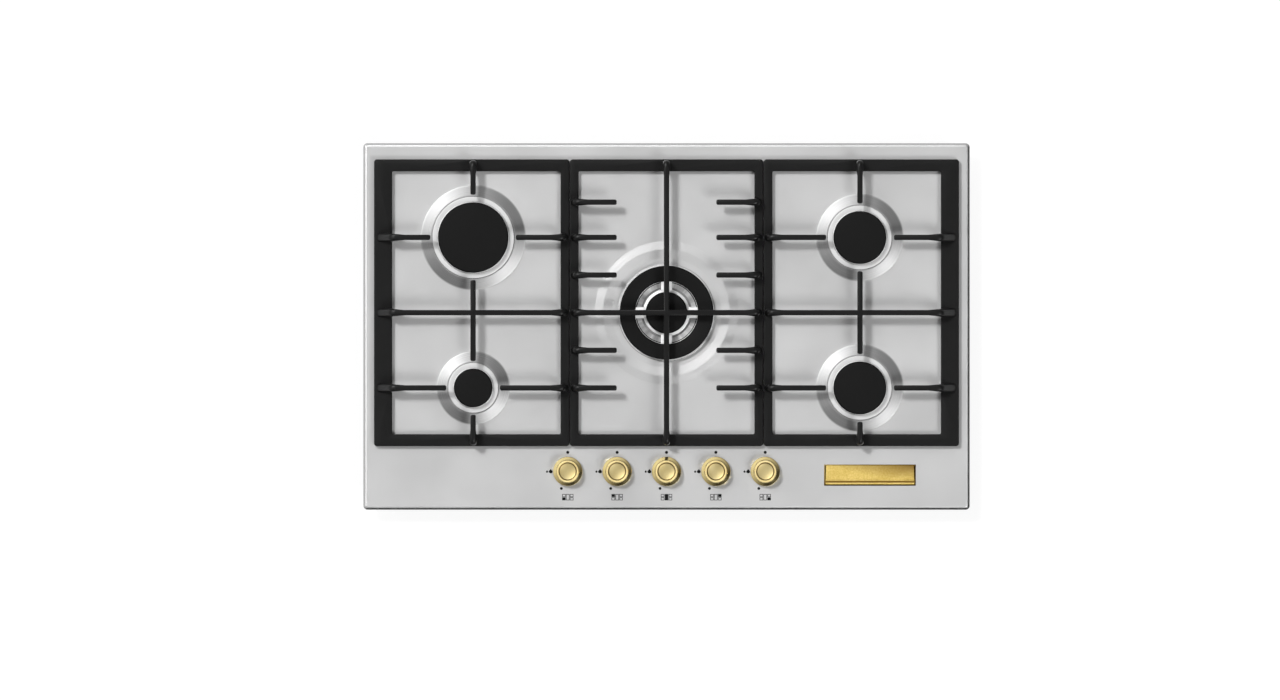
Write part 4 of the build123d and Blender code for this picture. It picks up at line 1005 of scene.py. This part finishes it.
def cup_profile(name, cup):
    """Turned cup: up the well's outside, round the neck, over the flange's rounded rim and into the well."""
    flange_r, bottom, top = cup.size[0] / 2, cup.low[2], cup.high[2]
    seat = PLATE_TOP if name == "triple" else PLATE_TOP + BOSS_RISE
    neck_r = flange_r - CUP_NECK_INSET - NECK_CLEARANCE
    neck_bore_r, neck_low = neck_r - NECK_WALL, seat - NECK_DEPTH
    outer_well_r = WELL_R + WELL_WALL
    corners = [
        (0, bottom), (outer_well_r, bottom), (outer_well_r, seat - 2), (neck_bore_r, seat - 2),
        (neck_bore_r, neck_low), (neck_r, neck_low), (neck_r, seat), (flange_r, seat), (flange_r, top),
        (WELL_R, top), (WELL_R, bottom + WELL_BLOCK), (0, bottom + WELL_BLOCK),
    ]
    return soft_corners(corners, (0, 1, 1.5, 1.5, 0.3, 0.3, 0.3, 0.3, FLANGE_EDGE_R, 0.6, 0.6, 0))


def stub_mesh(cup):
    """Gas stub: a short tube from the well towards the side on which its gas tube comes in."""
    x, y = cup.middle[:2]
    rear = y > cups["triple"].middle[1] + 1
    direction = np.array([-np.sign(x) if rear else 0.0, 0.0 if rear else -1.0])
    sideways = np.array([-direction[1], direction[0]])
    height = cup.low[2] + STUB_RISE
    start, end = WELL_R + WELL_WALL / 2, WELL_R + WELL_WALL + STUB_LENGTH
    blind = end - STUB_BORE_DEPTH
    ring = circle(1.0, THIN_ROUND)
    rings = []
    for along, radius in (
        (start, 0), (start, STUB_R), (end, STUB_R), (end, STUB_BORE_R), (blind, STUB_BORE_R), (blind, 0)
    ):
        flat = direction * along + radius * ring[:, :1] * sideways
        rings.append(np.column_stack([flat + [x, y], height + radius * ring[:, 1]]))
    return Surface().grid(np.array(rings), wrap_columns=True).mesh()


def make_cups():
    for name, cup in cups.items():
        top = cup.high[2]
        body = combined(turned_mesh(cup_profile(name, cup), cup.middle), [stub_mesh(cup)])
        holes = probe_posts(name, PROBE_HOLE, top - NECK_DEPTH, top + OVERLAP)
        mesh = axis_marks(smoothed(combined(body, holes, "DIFFERENCE")), cup.middle)
        if name == "triple":
            # painted near black: soot, and painted shade under the crown
            mark(mesh, "soot_and_painted_shade", axis_reach(mesh, cup.middle) < SOOT_AND_SHADE_R)
        piece(f"spun_cup_{name}", mesh, "root", "cast_aluminium", [f"burner_cup_{name}"])


make_cups()

# ---------------- crowns

CROWN_SHOULDER_R = 1.5
CROWN_SHOULDER_HEIGHT = 3.0
CROWN_FLOOR = 2.0
CROWN_WALL = 5.0
PORT_INSET = 2.0
PORT_WIDTH = 2.0
PORT_HEIGHT = 4.0
PORT_PITCH = 8.0
MIXER_R = 8.0
MIXER_BORE_R = 6.0
COLLAR_R = 10.2
COLLAR_DEPTH = 8.0
MIXER_SOFT = (0.5, 0.5, 0.8, 0.5, 0.5)
CAP_LIP = 3.0


def port_gaps(name):
    """Angles at which a burner's flame ports would run into its probe pockets, each with half its gap."""
    reach = cups[name].size[0] / 2 - PROBE_INSET
    wide = ELECTRODE_R + POCKET_GAP + POCKET_WALL + PORT_WIDTH / 2
    return [(angle, np.degrees(np.arcsin(wide / reach))) for angle in PROBE_ANGLES[name]]


def teeth(radius, reach, top, centre, keep_clear=()):
    """Cutting blocks for the flame ports: boxes at equal angles round an axis, in one mesh."""
    count = round(2 * pi * radius / PORT_PITCH)
    angles = 2 * pi * (np.arange(count) + 0.5) / count
    for blocked, half_gap in keep_clear:
        away = np.abs((angles - radians(blocked) + pi) % (2 * pi) - pi)
        angles = angles[away > radians(half_gap)]
    signs = np.array([(-1, -1), (1, -1), (1, 1), (-1, 1)])
    skin = Surface()
    faces = np.array([(0, 3, 2, 1), (4, 5, 6, 7), (0, 1, 5, 4), (1, 2, 6, 5), (2, 3, 7, 6), (3, 0, 4, 7)])
    for angle in angles:
        outward = np.array([np.cos(angle), np.sin(angle)])
        sideways = np.array([-outward[1], outward[0]])
        middle = np.array(centre)[:2] + outward * (radius - reach / 2 + 0.5)
        flat = middle + signs[:, :1] * outward * (reach / 2 + 1) + signs[:, 1:] * sideways * PORT_WIDTH / 2
        low = np.column_stack([flat, np.full(4, top - PORT_HEIGHT)])
        high = np.column_stack([flat, np.full(4, top + 1)])
        skin.add(np.vstack([low, high]), faces)
    return skin.mesh()


def mixer_corners(crown, seat):
    """Mixing tube and collar of a crown, up to the level on which the crown stands."""
    low, collar = crown.low[2], seat - COLLAR_DEPTH
    return [(MIXER_BORE_R, low), (MIXER_R, low), (MIXER_R, collar), (COLLAR_R, collar), (COLLAR_R, seat)]


def crown_profile(crown, seat, top, cap_r):
    """Corner crown: mixing tube, collar, shoulder, and the ring round the flame chamber."""
    ring_r, shoulder_r = cap_r - PORT_INSET, cap_r + CROWN_SHOULDER_R
    shoulder, floor = seat + CROWN_SHOULDER_HEIGHT, seat + CROWN_FLOOR
    corners = mixer_corners(crown, seat) + [
        (shoulder_r, seat), (shoulder_r, shoulder), (ring_r, shoulder), (ring_r, top),
        (ring_r - CROWN_WALL, top), (ring_r - CROWN_WALL, floor), (MIXER_BORE_R, floor),
    ]
    return soft_corners(corners, MIXER_SOFT + (0.3, 1.1, 0.5, 0.4, 0.4, 1, 1.5), 5, closed=True)


def pocket_walls(name, seat, top):
    """The walls round a burner's two probe pockets."""
    return probe_posts(name, POCKET_GAP + POCKET_WALL, seat + OVERLAP, top - POCKET_RIM)


def cut_crown(name, body, centre, seat, top, ports):
    """A crown's body with its flame ports and probe pockets cut out of it."""
    pockets = probe_posts(name, POCKET_GAP, seat - OVERLAP, top + OVERLAP)
    return axis_marks(smoothed(combined(body, ports + pockets, "DIFFERENCE")), centre)


def make_crowns():
    for name, cap in caps.items():
        crown = box_of(f"crown_{name}")
        cap_r = cap.size[0] / 2
        ring_r = cap_r - PORT_INSET
        seat, top = cups[name].high[2], cap.low[2] + CAP_LIP
        body = turned_mesh(crown_profile(crown, seat, top, cap_r), crown.middle, closed=True)
        limit = post(ring_r - POCKET_RIM, seat, top + OVERLAP, crown.middle, ROUND)
        walls = [combined(wall, [limit], "INTERSECT") for wall in pocket_walls(name, seat, top)]
        ports = [teeth(ring_r, CROWN_WALL, top, crown.middle, port_gaps(name))]
        mesh = cut_crown(name, combined(body, walls), crown.middle, seat, top, ports)
        node = f"crown_{name}"
        piece(f"cast_crown_{name}", mesh, node, "crown_aluminium", [node])


make_crowns()

HUB_R = 33.3
HUB_RISE = 6.0
HUB_RING_R = 28.5
HUB_WALL = 3.5
SLOPE_FOOT_R = 36.3
SLOPE_FOOT_RISE = 2.0
SLOPE_TOP_DROP = 2.0
# the slope's rim at the bore, painted near black: painted shade beside the ring cap, and soot
DARKENED_RIM = 1.4
BORE_R = 44.0
RING_WALL = 3.0
BRIDGE_WIDTH = 16.0
BRIDGE_RISE = 7.0
BRIDGE_EDGE_R = 1.0
BRIDGE_SINK = 2.0
BRIDGE_LIFT = 0.5
# how far the cast skin's mark reaches past the slope's foot and the bore, and stays under the bridges
CAST_PAST_FOOT = 0.6
CAST_PAST_BORE = 0.3
CAST_UNDER_BRIDGE = 0.9
# share of the darkened rim painted as shade and soot, and where its corner lies along it
DARKENED_RIM_MARK = 0.95
DARKENED_RIM_CORNER = 0.9


def hub_profile(crown, seat):
    """Hub of the triple crown: mixing tube, collar, wide shoulder and the inner ring with its chamber."""
    shoulder, top, floor = seat + HUB_RISE, crown.high[2], seat + CROWN_FLOOR
    corners = mixer_corners(crown, seat) + [
        (HUB_R, seat), (HUB_R, shoulder), (HUB_RING_R, shoulder), (HUB_RING_R, top),
        (HUB_RING_R - HUB_WALL, top), (HUB_RING_R - HUB_WALL, floor), (MIXER_BORE_R, floor),
    ]
    return soft_corners(corners, MIXER_SOFT + (0.3, 0.8, 0.4, 0.3, 0.3, 1, 1.5), 5, closed=True)


def ring_profile(seat, top, outer_r):
    """Outer ring of the triple crown: the sloped inner field and the gas channel between its two walls."""
    floor = seat + CROWN_FLOOR
    slope_foot, slope_top = seat + SLOPE_FOOT_RISE, top - SLOPE_TOP_DROP
    fall = (slope_foot - slope_top) * DARKENED_RIM / (BORE_R - SLOPE_FOOT_R)
    corners = [
        (SLOPE_FOOT_R, seat), (outer_r, seat), (outer_r, top), (outer_r - RING_WALL, top),
        (outer_r - RING_WALL, floor), (BORE_R + RING_WALL, floor), (BORE_R + RING_WALL, top),
        (BORE_R, top), (BORE_R, slope_top),
        (BORE_R - DARKENED_RIM * DARKENED_RIM_CORNER, slope_top + fall * DARKENED_RIM_CORNER),
        (BORE_R - DARKENED_RIM, slope_top + fall),
        (SLOPE_FOOT_R, slope_foot),
    ]
    return soft_corners(corners, (0.3, 0.3, 0.3, 0.3, 1, 1, 0.3, 0.3, 0.3, 0, 0, 0.5), 5, closed=True)


def bridge_mesh(origin, seat, turn):
    """One bridge between hub and ring: a bar with round edges, turned about the burner's axis."""
    reach = np.array([HUB_R - BRIDGE_SINK, BORE_R + BRIDGE_SINK])
    top = np.column_stack([reach, np.full(2, seat + BRIDGE_RISE)])
    bottom = np.column_stack([reach, np.full(2, seat + BRIDGE_LIFT)])
    return bar_mesh([(top, bottom, np.full(2, BRIDGE_WIDTH / 2), np.full(2, BRIDGE_EDGE_R))], origin, turn)


def make_triple_crown():
    crown = box_of("crown_triple")
    centre, seat = cups["triple"].middle, cups["triple"].high[2]
    top = ring_cap.low[2] + CAP_LIP
    outer_r = ring_cap.size[0] / 2 - PORT_INSET
    hub = turned_mesh(hub_profile(crown, seat), centre, WIDE_ROUND, closed=True)
    ring = turned_mesh(ring_profile(seat, top, outer_r), centre, WIDE_ROUND, closed=True)
    bridges = [bridge_mesh((crown.middle[0], centre[1]), seat, turn) for turn in (0, 90, 180, 270)]
    body = combined(ring, [hub] + bridges + pocket_walls("triple", seat, top))
    ports = [
        teeth(outer_r, RING_WALL, top, centre, port_gaps("triple")),
        teeth(HUB_RING_R, HUB_WALL, crown.high[2], centre),
    ]
    mesh = cut_crown("triple", body, centre, seat, top, ports)
    reach, height = axis_reach(mesh, centre), point_values(mesh, "co")[:, 2] / MM
    skin = (reach > SLOPE_FOOT_R - CAST_PAST_FOOT) & (reach < BORE_R + CAST_PAST_BORE)
    skin &= height < seat + BRIDGE_RISE - CAST_UNDER_BRIDGE
    mark(mesh, "cast_skin", skin)
    # the rim at the bore is painted near black: painted shade beside the ring cap, and soot
    mark(mesh, "soot_and_painted_shade", skin & (reach > BORE_R - DARKENED_RIM * DARKENED_RIM_MARK))
    piece("cast_crown_triple", mesh, "crown_triple", "crown_aluminium", ["crown_triple"], "triple_aluminium")


make_triple_crown()

# ---------------- burner caps

CAP_EDGE_R = 1.6
CAP_DOME = 0.3
CAP_BEVEL = 1.5
LIP_GAP = 0.5
POCKET_FLOOR = 0.01
HUB_CAP_BEVEL = 1.4
HUB_LIP_R = 24.5
RING_CAP_BORE_R = 44.5
RING_CAP_BEVEL = 1.0
RING_CAP_FALL = 1.5
RING_LIP_R = 61.0
RING_LIP_BORE_R = 58.0


def disc_cap_profile(cap, bevel, lip_r):
    """A cap from the middle of its top, down its rounded rim and in under it to the locating lip."""
    radius, low, high, under = cap.size[0] / 2, cap.low[2], cap.high[2], cap.low[2] + CAP_LIP
    corners = [
        (0, high), (radius - bevel, high - CAP_DOME), (radius, high - bevel - CAP_DOME), (radius, under),
        (lip_r, under), (lip_r, low), (lip_r - CAP_LIP, low), (lip_r - CAP_LIP, under), (0, under),
    ]
    return soft_corners(corners, (0, CAP_EDGE_R, 1.0, 0.4, 0.3, 0.4, 0.4, 0.3, 0))


def ring_cap_profile(outer_r, low, high):
    """The triple burner's outer cap: it falls from its edge towards its bore, and has a locating lip."""
    under, bore_edge = low + CAP_LIP, high - RING_CAP_FALL
    corners = [
        (RING_CAP_BORE_R, under), (RING_CAP_BORE_R, bore_edge - RING_CAP_BEVEL),
        (RING_CAP_BORE_R + RING_CAP_BEVEL, bore_edge), (outer_r - RING_CAP_BEVEL, high),
        (outer_r, high - RING_CAP_BEVEL), (outer_r, under), (RING_LIP_R, under), (RING_LIP_R, low),
        (RING_LIP_BORE_R, low), (RING_LIP_BORE_R, under),
    ]
    return soft_corners(corners, (0.4, 0.6, 0.8, 1.2, 0.6, 0.4, 0.3, 0.4, 0.4, 0.3), 5, closed=True)


def pocketed(mesh, name, cap):
    """A cap with room under it for the walls round its burner's two probes."""
    margin = POCKET_GAP + POCKET_WALL + LIP_GAP
    cuts = probe_posts(name, margin, cap.low[2] - OVERLAP, cap.low[2] + CAP_LIP - POCKET_FLOOR)
    return smoothed(combined(mesh, cuts, "DIFFERENCE"))


def make_caps():
    for name, cap in caps.items():
        profile = disc_cap_profile(cap, CAP_BEVEL, cap.size[0] / 2 - PORT_INSET - CROWN_WALL - LIP_GAP)
        mesh = pocketed(turned_mesh(profile, cap.middle), name, cap)
        node = f"cap_{name}"
        piece(f"enamel_cap_{name}", axis_marks(mesh, cap.middle), node, "black_enamel", [node])
    mesh = turned_mesh(disc_cap_profile(hub_cap, HUB_CAP_BEVEL, HUB_LIP_R), hub_cap.middle, HUB_ROUND)
    piece("enamel_cap_hub", mesh, "cap_triple_inner", "black_enamel", ["cap_triple_inner"])
    profile = ring_cap_profile(ring_cap.size[0] / 2, ring_cap.low[2], ring_cap.high[2])
    mesh = pocketed(turned_mesh(profile, ring_cap.middle, WIDE_ROUND, closed=True), "triple", ring_cap)
    piece("enamel_cap_ring", mesh, "cap_triple_outer", "black_enamel", ["cap_triple_outer"])


make_caps()

# ---------------- knobs

KNOB_FOOT_HEIGHT = 4.8
KNOB_SHOULDER_RISE = 2.4
KNOB_WAIST_R = 16.3
KNOB_RIM_R = 15.2
KNOB_DISH_R = 13.0
KNOB_DISH_DEPTH = 1.5
KNOB_WALL = 3.0
KNOB_HUB_R = 6.5
KNOB_BORE_R = 3.05
KNOB_HEIGHT = 21.0
KNOB_FOOT_LEAN = 0.6
KNOB_RIM_LEAN = 0.5
KNOB_RIM_DROP = 0.6
KNOB_GROOVE_DEPTH = 2.2
KNOB_DISH_EDGE = 0.9
# how far in from KNOB_DISH_R the groove's two foot corners and the dish's edge lie
KNOB_GROOVE_IN = 0.3
KNOB_GROOVE_OUT = 1.4
KNOB_DISH_IN = 1.7
KNOB_BORE_RISE = 1.7


def knob_profile(low, high, radius):
    """Turned knob: out under the foot, up its side, over the shoulder, the flank and the rim into the dish.

    The dish is a parabola: height = bottom + (edge - bottom) * (r / dish radius)^2."""
    shoulder, groove = low + KNOB_FOOT_HEIGHT, high - KNOB_GROOVE_DEPTH
    dish_r = KNOB_DISH_R - KNOB_DISH_IN
    outside = [
        (KNOB_RIM_R, low), (radius - KNOB_FOOT_LEAN, low), (radius, shoulder),
        (KNOB_WAIST_R, shoulder + KNOB_SHOULDER_RISE), (KNOB_RIM_R + KNOB_RIM_LEAN, high - KNOB_RIM_DROP),
        (KNOB_RIM_R, high), (KNOB_DISH_R, high), (KNOB_DISH_R - KNOB_GROOVE_IN, groove),
        (KNOB_DISH_R - KNOB_GROOVE_OUT, groove), (dish_r, high - KNOB_DISH_EDGE),
    ]
    outside = soft_corners(outside, (0, 1.2, 1.2, 0.8, 0.4, 0.3, 0.3, 0.2, 0.2, 0), 7)
    reach = np.linspace(dish_r, 0, 12)[1:]
    rise = (KNOB_DISH_DEPTH - KNOB_DISH_EDGE) * (reach / dish_r) ** 2
    dish = np.stack([reach, high - KNOB_DISH_DEPTH + rise], axis=-1)
    hollow = high - KNOB_DISH_DEPTH - KNOB_WALL
    bore = hollow - KNOB_BORE_RISE
    inside = [
        (0, bore), (KNOB_BORE_R, bore), (KNOB_BORE_R, low), (KNOB_HUB_R, low), (KNOB_HUB_R, hollow),
        (KNOB_RIM_R, hollow), (KNOB_RIM_R, low),
    ]
    return np.vstack([outside, dish, inside])


def make_knobs():
    for number, knob in knobs.items():
        low = knob.low[2]
        profile = knob_profile(low, min(knob.high[2], low + KNOB_HEIGHT), knob.size[0] / 2)
        mesh = axis_marks(turned_mesh(profile, knob.middle, KNOB_ROUND, sharp=SOFT_ANGLE), knob.middle)
        node = f"knob_{number}"
        piece(f"brass_knob_{number}", mesh, node, "polished_brass", [node])


make_knobs()

# ---------------- printed marks by each knob

INK_HEIGHT = 0.06
INK_SINK = 0.01
DOT_R = 2.2
# places from the knob's axis: of each dot, with its share of DOT_R; of each flame, with its height and width
DOTS = ((0.0, 27.0, 1.0), (-9.1, -24.2, 0.93))
FLAMES = ((-24.2, -2.8, 6.4, 5.4), (-29.4, -2.0, 3.8, 3.0))
FLAME_BELLY = 0.62
FLAME_SINK = 0.75
FLAME_POINT = 0.35
SERVED = {1: (0, 0), 2: (0, 1), 3: (1, 0), 4: (2, 1), 5: (2, 0)}
PICTOGRAM_Y = -36.6
CELL_WIDTH = 5.0
CELL_HEIGHT = 4.2
CELL_GAP = 0.5
LINE = 0.8
# column, row and height of each cell of the pictogram, in cells
CELLS = ((0, 0, 1), (0, 1, 1), (1, 0, 2), (2, 0, 1), (2, 1, 1))


def add_slab(skin, outline, low, high):
    """A thin flat piece with upright sides inside a closed outline."""
    skin.levels(np.stack([outline, outline]), np.array([low, high]))
    skin.flat(outline, [], high)
    skin.flat(outline, [], low)


def rectangle(left, right, low, high):
    """Corners of an upright rectangle, counterclockwise."""
    return np.array([(left, low), (right, low), (right, high), (left, high)], float)


def flame_outline(height, width):
    """A drop: half width = belly * width * sin(pi t^sink) * (1 - t)^point, t from the foot to the tip."""
    share = np.linspace(0, 1, 16)
    half = width * FLAME_BELLY * np.sin(pi * share**FLAME_SINK) * (1 - share) ** FLAME_POINT
    right = np.stack([half, share * height], axis=-1)
    left = np.stack([-half[1:-1], share[1:-1] * height], axis=-1)[::-1]
    return np.vstack([right, left])


def knob_marks(number, x, y):
    """Dots for off and low, flames for high, and a plan of the burners with the served one filled."""
    outlines = [circle(DOT_R * share, THIN_ROUND, (x + across, y + along)) for across, along, share in DOTS]
    for across, along, height, width in FLAMES:
        outlines.append(flame_outline(height, width) + np.array([x + across, y + along]))
    for column, row, tall in CELLS:
        left = x + (column - 1.5) * (CELL_WIDTH + CELL_GAP) + CELL_GAP / 2
        bottom = y + PICTOGRAM_Y + (row - 1) * (CELL_HEIGHT + CELL_GAP) + CELL_GAP / 2
        right = left + CELL_WIDTH
        top = bottom + tall * CELL_HEIGHT + (tall - 1) * CELL_GAP
        if SERVED[number] == (column, row):
            outlines.append(rectangle(left, right, bottom, top))
            continue
        outlines.append(rectangle(left, right, bottom, bottom + LINE))
        outlines.append(rectangle(left, right, top - LINE, top))
        outlines.append(rectangle(left, left + LINE, bottom + LINE, top - LINE))
        outlines.append(rectangle(right - LINE, right, bottom + LINE, top - LINE))
    skin = Surface()
    for outline in outlines:
        add_slab(skin, outline, PLATE_TOP - INK_SINK, PLATE_TOP + INK_HEIGHT)
    return skin.mesh()


def make_marks():
    for number, knob in knobs.items():
        mesh = knob_marks(number, knob.middle[0], knob.middle[1])
        piece(f"printed_marks_{number}", mesh, "root", "black_enamel")


make_marks()

# ---------------- badge plate

BADGE_CORNER_R = 0.6
BADGE_RISE = 1.7
BADGE_FOOT = 0.5
BADGE_BEVEL = 1.6
BADGE_RIM = 0.5
BAND_INSET = 1.7
BAND_END = 2.4
BAND_FOOT = 1.0
BAND_SIDE = 2.3
BAND_RISE = 2.8
BAND_GROOVE = 2.0
# start and end of each of the band's two ridges, from its front edge
BAND_RIDGES = ((0.4, 2.6), (5.3, 7.3))
BAND_GROOVE_ENDS = (2.9, 5.0)
BAND_WIDTH = 7.6
# dark brown marks: patina and painted shade in the band's groove, painted shade on the front and right edges
GROOVE_DARKENING = (2.7, 5.2)
GROOVE_DARKENING_BELOW = 2.5
EDGE_SHADE_FRONT = 0.1


def make_badge():
    """Bare cast plate: bevelled edges and one raised band, with a groove in it, along its front edge."""
    box = box_of("badge_plate")
    outline, normals = rounded_outline(box.size[0], box.size[1], BADGE_CORNER_R, 3)
    outline = outline + box.middle[:2]
    low, field = box.low[2], box.low[2] + BADGE_RISE
    profile = [(0, low), (0, low + BADGE_FOOT)]
    profile += [(-BADGE_BEVEL - step * BADGE_RIM, field) for step in range(3)]
    profile = soft_corners(profile, (0, 0.2, 0.2, 0, 0), 4)
    skin = Surface().carried(outline, normals, profile)
    skin.flat(outline + profile[-1, 0] * normals, [], field)
    skin.flat(outline, [], low)
    (rise_1, fall_1), (rise_2, fall_2) = BAND_RIDGES
    section = [
        (0, BAND_FOOT), (0, BAND_SIDE), (rise_1, BAND_RISE), (fall_1, BAND_RISE),
        (BAND_GROOVE_ENDS[0], BAND_GROOVE), (BAND_GROOVE_ENDS[1], BAND_GROOVE),
        (rise_2, BAND_RISE), (fall_2, BAND_RISE), (BAND_WIDTH, BAND_SIDE), (BAND_WIDTH, BAND_FOOT),
    ]
    section = soft_corners(section, (0, 0.2, 0.3, 0.3, 0.2, 0.2, 0.3, 0.3, 0.2, 0), 4)
    front = box.low[1] + BAND_INSET
    section = section + np.array([front, low])
    shrunk = np.broadcast_to(section.mean(axis=0), section.shape)
    start, end = box.low[0] + BAND_END, box.high[0] - BAND_END
    stations = ((start, shrunk), (start, section), (end, section), (end, shrunk))
    rows = np.array([np.insert(points, 0, x, axis=1) for x, points in stations])
    band = Surface().grid(rows, wrap_columns=True).mesh()
    mesh = smoothed(combined(skin.mesh(), [band]), BADGE_SHARP)
    x, y, z = point_values(mesh, "co").T / MM
    # the groove is painted dark: patina and painted shade
    groove = (y - front > GROOVE_DARKENING[0]) & (y - front < GROOVE_DARKENING[1]) & (z < low + GROOVE_DARKENING_BELOW)
    # the front and right edges are painted dark: painted shade on the sides away from the light
    edge = (y - front < -EDGE_SHADE_FRONT) | (x > box.high[0] - BAND_INSET)
    mark(mesh, "patina_and_painted_shade", groove | edge)
    piece("bare_badge", mesh, "root", "polished_brass", ["badge_plate"], "cast_badge_brass")


make_badge()

# ---------------- finishes of the CAD nodes that stay

def finish_frame_nodes():
    slots = {entry["node"]: entry["material_slot"] for entry in frame["record"]["subparts"]}
    for name, node in frame["nodes"].items():
        finish = finishes[slots[name]]
        for slot in node.material_slots:
            slot.material = finish


finish_frame_nodes()

# ---------------- floor, light and camera

FLOOR_RADIUS = 24.0
FLOOR_GAP = 0.5
CONTACT_REACH = 30.0
KEY_SLANT = 0.365
KEY_STRENGTH = 1.24
KEY_SPREAD = 8.0
FILL_SLANT = 0.5
FILL_STRENGTH = 1.6
FILL_SPREAD = 24.0

FLOOR_ROUND = 64
FLOOR_LIT = 0.8
FLOOR_SEEN = 0.2
FLOOR_GLOW = 0.83


def make_floor():
    """Pale floor: white to the camera, with the object's shadow kept faint.

    It is clear from below, and to light that leaves the object's underside within CONTACT_REACH."""
    finish = Finish("floor")
    seen = finish.path("Is Camera Ray")
    direct = finish.math("MINIMUM", seen + finish.path("Is Transmission Ray"), 1.0)
    lit = finish.node("ShaderNodeBsdfDiffuse", 0, {"Color": grey(FLOOR_LIT)})
    shaded = finish.node("ShaderNodeBsdfDiffuse", 0, {"Color": grey(FLOOR_SEEN)})
    glow = finish.node("ShaderNodeEmission", 0, {"Color": grey(1.0), "Strength": FLOOR_GLOW})
    white = finish.node("ShaderNodeAddShader", 0, {0: shaded, 1: glow})
    top = finish.node("ShaderNodeMixShader", 0, {0: direct, 1: lit, 2: white})
    clear = finish.node("ShaderNodeBsdfTransparent", 0, {})
    behind = finish.node("ShaderNodeNewGeometry", "Backfacing", {})
    near = finish.between(finish.path("Ray Length"), 1.0, 0.0, 0.0, CONTACT_REACH * MM)
    cleared = finish.math("MAXIMUM", behind, near * (1 - seen))
    finish.closed(finish.node("ShaderNodeMixShader", 0, {0: cleared, 1: top, 2: clear}))
    height = cad_box[0][2] / MM - FLOOR_GAP
    mesh = turned_mesh([(0, height), (FLOOR_RADIUS / MM, height)], (0, 0), FLOOR_ROUND)
    if mesh.polygons[0].normal.z < 0:
        mesh.flip_normals()
    mesh.materials.append(finish.data)
    floor = linked("floor", mesh)


make_floor()

WORLD_BASE = 0.15
WORLD_RAMP = 0.2
WORLD_BOX = 2.3
WORLD_BOX_EDGE = 0.56
WORLD_SPREAD = 0.85
WORLD_DIMMEST = 0.02
WORLD_SIDE_BASE = 0.42
WORLD_SIDE_RAMP = 0.42
WORLD_LOW_BASE = 0.45
WORLD_LOW_RAMP = 0.32
WORLD_BACKDROP = 0.95
WORLD_BOX_BLEND = 0.12
OVERHEAD_RANGE = (0.6, 0.8)
HORIZON_RANGE = (0.05, 0.25)


def make_world():
    """Studio light in three belts that blend into each other, and one pale level where the camera sees it.

    With slant = y - x of the direction, bright to the upper left:
    overhead, base + ramp * slant - 2 * spread * x * y, and a soft box where the slant is past its edge;
    halfway down and at the horizon, base + ramp * slant."""
    world = bpy.data.worlds.new("studio")
    bpy.context.scene.world = world
    finish = Finish("studio", world)
    x, y, z = finish.axes("Generated")
    slant = y - x
    edge = WORLD_BOX_EDGE
    box = finish.between(slant, 0.0, WORLD_BOX, edge - WORLD_BOX_BLEND, edge + WORLD_BOX_BLEND)
    overhead = WORLD_BASE + slant * WORLD_RAMP - x * y * (2.0 * WORLD_SPREAD) + box
    overhead = finish.math("MAXIMUM", overhead, WORLD_DIMMEST)
    side = finish.math("MAXIMUM", WORLD_SIDE_BASE + slant * WORLD_SIDE_RAMP, WORLD_DIMMEST)
    horizon = finish.math("MAXIMUM", WORLD_LOW_BASE + slant * WORLD_LOW_RAMP, WORLD_DIMMEST)
    high_up = finish.between(z, 0.0, 1.0, *OVERHEAD_RANGE)
    low_down = finish.between(z, 1.0, 0.0, *HORIZON_RANGE)
    lights = (overhead * high_up + side * (1 - high_up)) * (1 - low_down) + low_down * horizon
    seen = finish.path("Is Camera Ray")
    level = lights * (1 - seen) + seen * WORLD_BACKDROP
    background = finish.node("ShaderNodeBackground", 0, {"Color": grey(1.0), "Strength": level})
    finish.closed(background, "ShaderNodeOutputWorld")


make_world()


def make_sun(name, toward, strength, spread):
    """A far light that shines along a direction, with the given angle across its disc."""
    lamp = bpy.data.lights.new(name, "SUN")
    lamp.energy = strength
    lamp.angle = radians(spread)
    sun = linked(name, lamp)
    sun.rotation_mode = "QUATERNION"
    sun.rotation_quaternion = Vector(toward).to_track_quat("-Z", "Y")


make_sun("key", (KEY_SLANT, -KEY_SLANT, -1.0), KEY_STRENGTH, KEY_SPREAD)
make_sun("fill", (-FILL_SLANT, FILL_SLANT, -1.0), FILL_STRENGTH, FILL_SPREAD)

PICTURE_WIDTH = 1280.0
PICTURE_HEIGHT = 700.0
PLATE_WIDTH_PX = 606.5
PLATE_MIDDLE_PX = (666.5, 326.45)
LENS = 600.0
SENSOR = 36.0
CAMERA_REACH = 100.0


def make_camera():
    """Camera straight above, so far away that the plate is PLATE_WIDTH_PX wide in the full picture."""
    scale = plate.size[0] / PLATE_WIDTH_PX
    width = PICTURE_WIDTH * scale
    camera = linked("camera", bpy.data.cameras.new("camera"))
    camera.data.lens = LENS
    camera.data.sensor_width = SENSOR
    camera.data.clip_end = CAMERA_REACH
    x = (PICTURE_WIDTH / 2 - PLATE_MIDDLE_PX[0]) * scale
    y = -(PICTURE_HEIGHT / 2 - PLATE_MIDDLE_PX[1]) * scale
    camera.location = Vector((x, y, PLATE_TOP + width * LENS / SENSOR)) * MM
    bpy.context.scene.camera = camera


make_camera()
bpy.context.scene.view_settings.view_transform = "Standard"
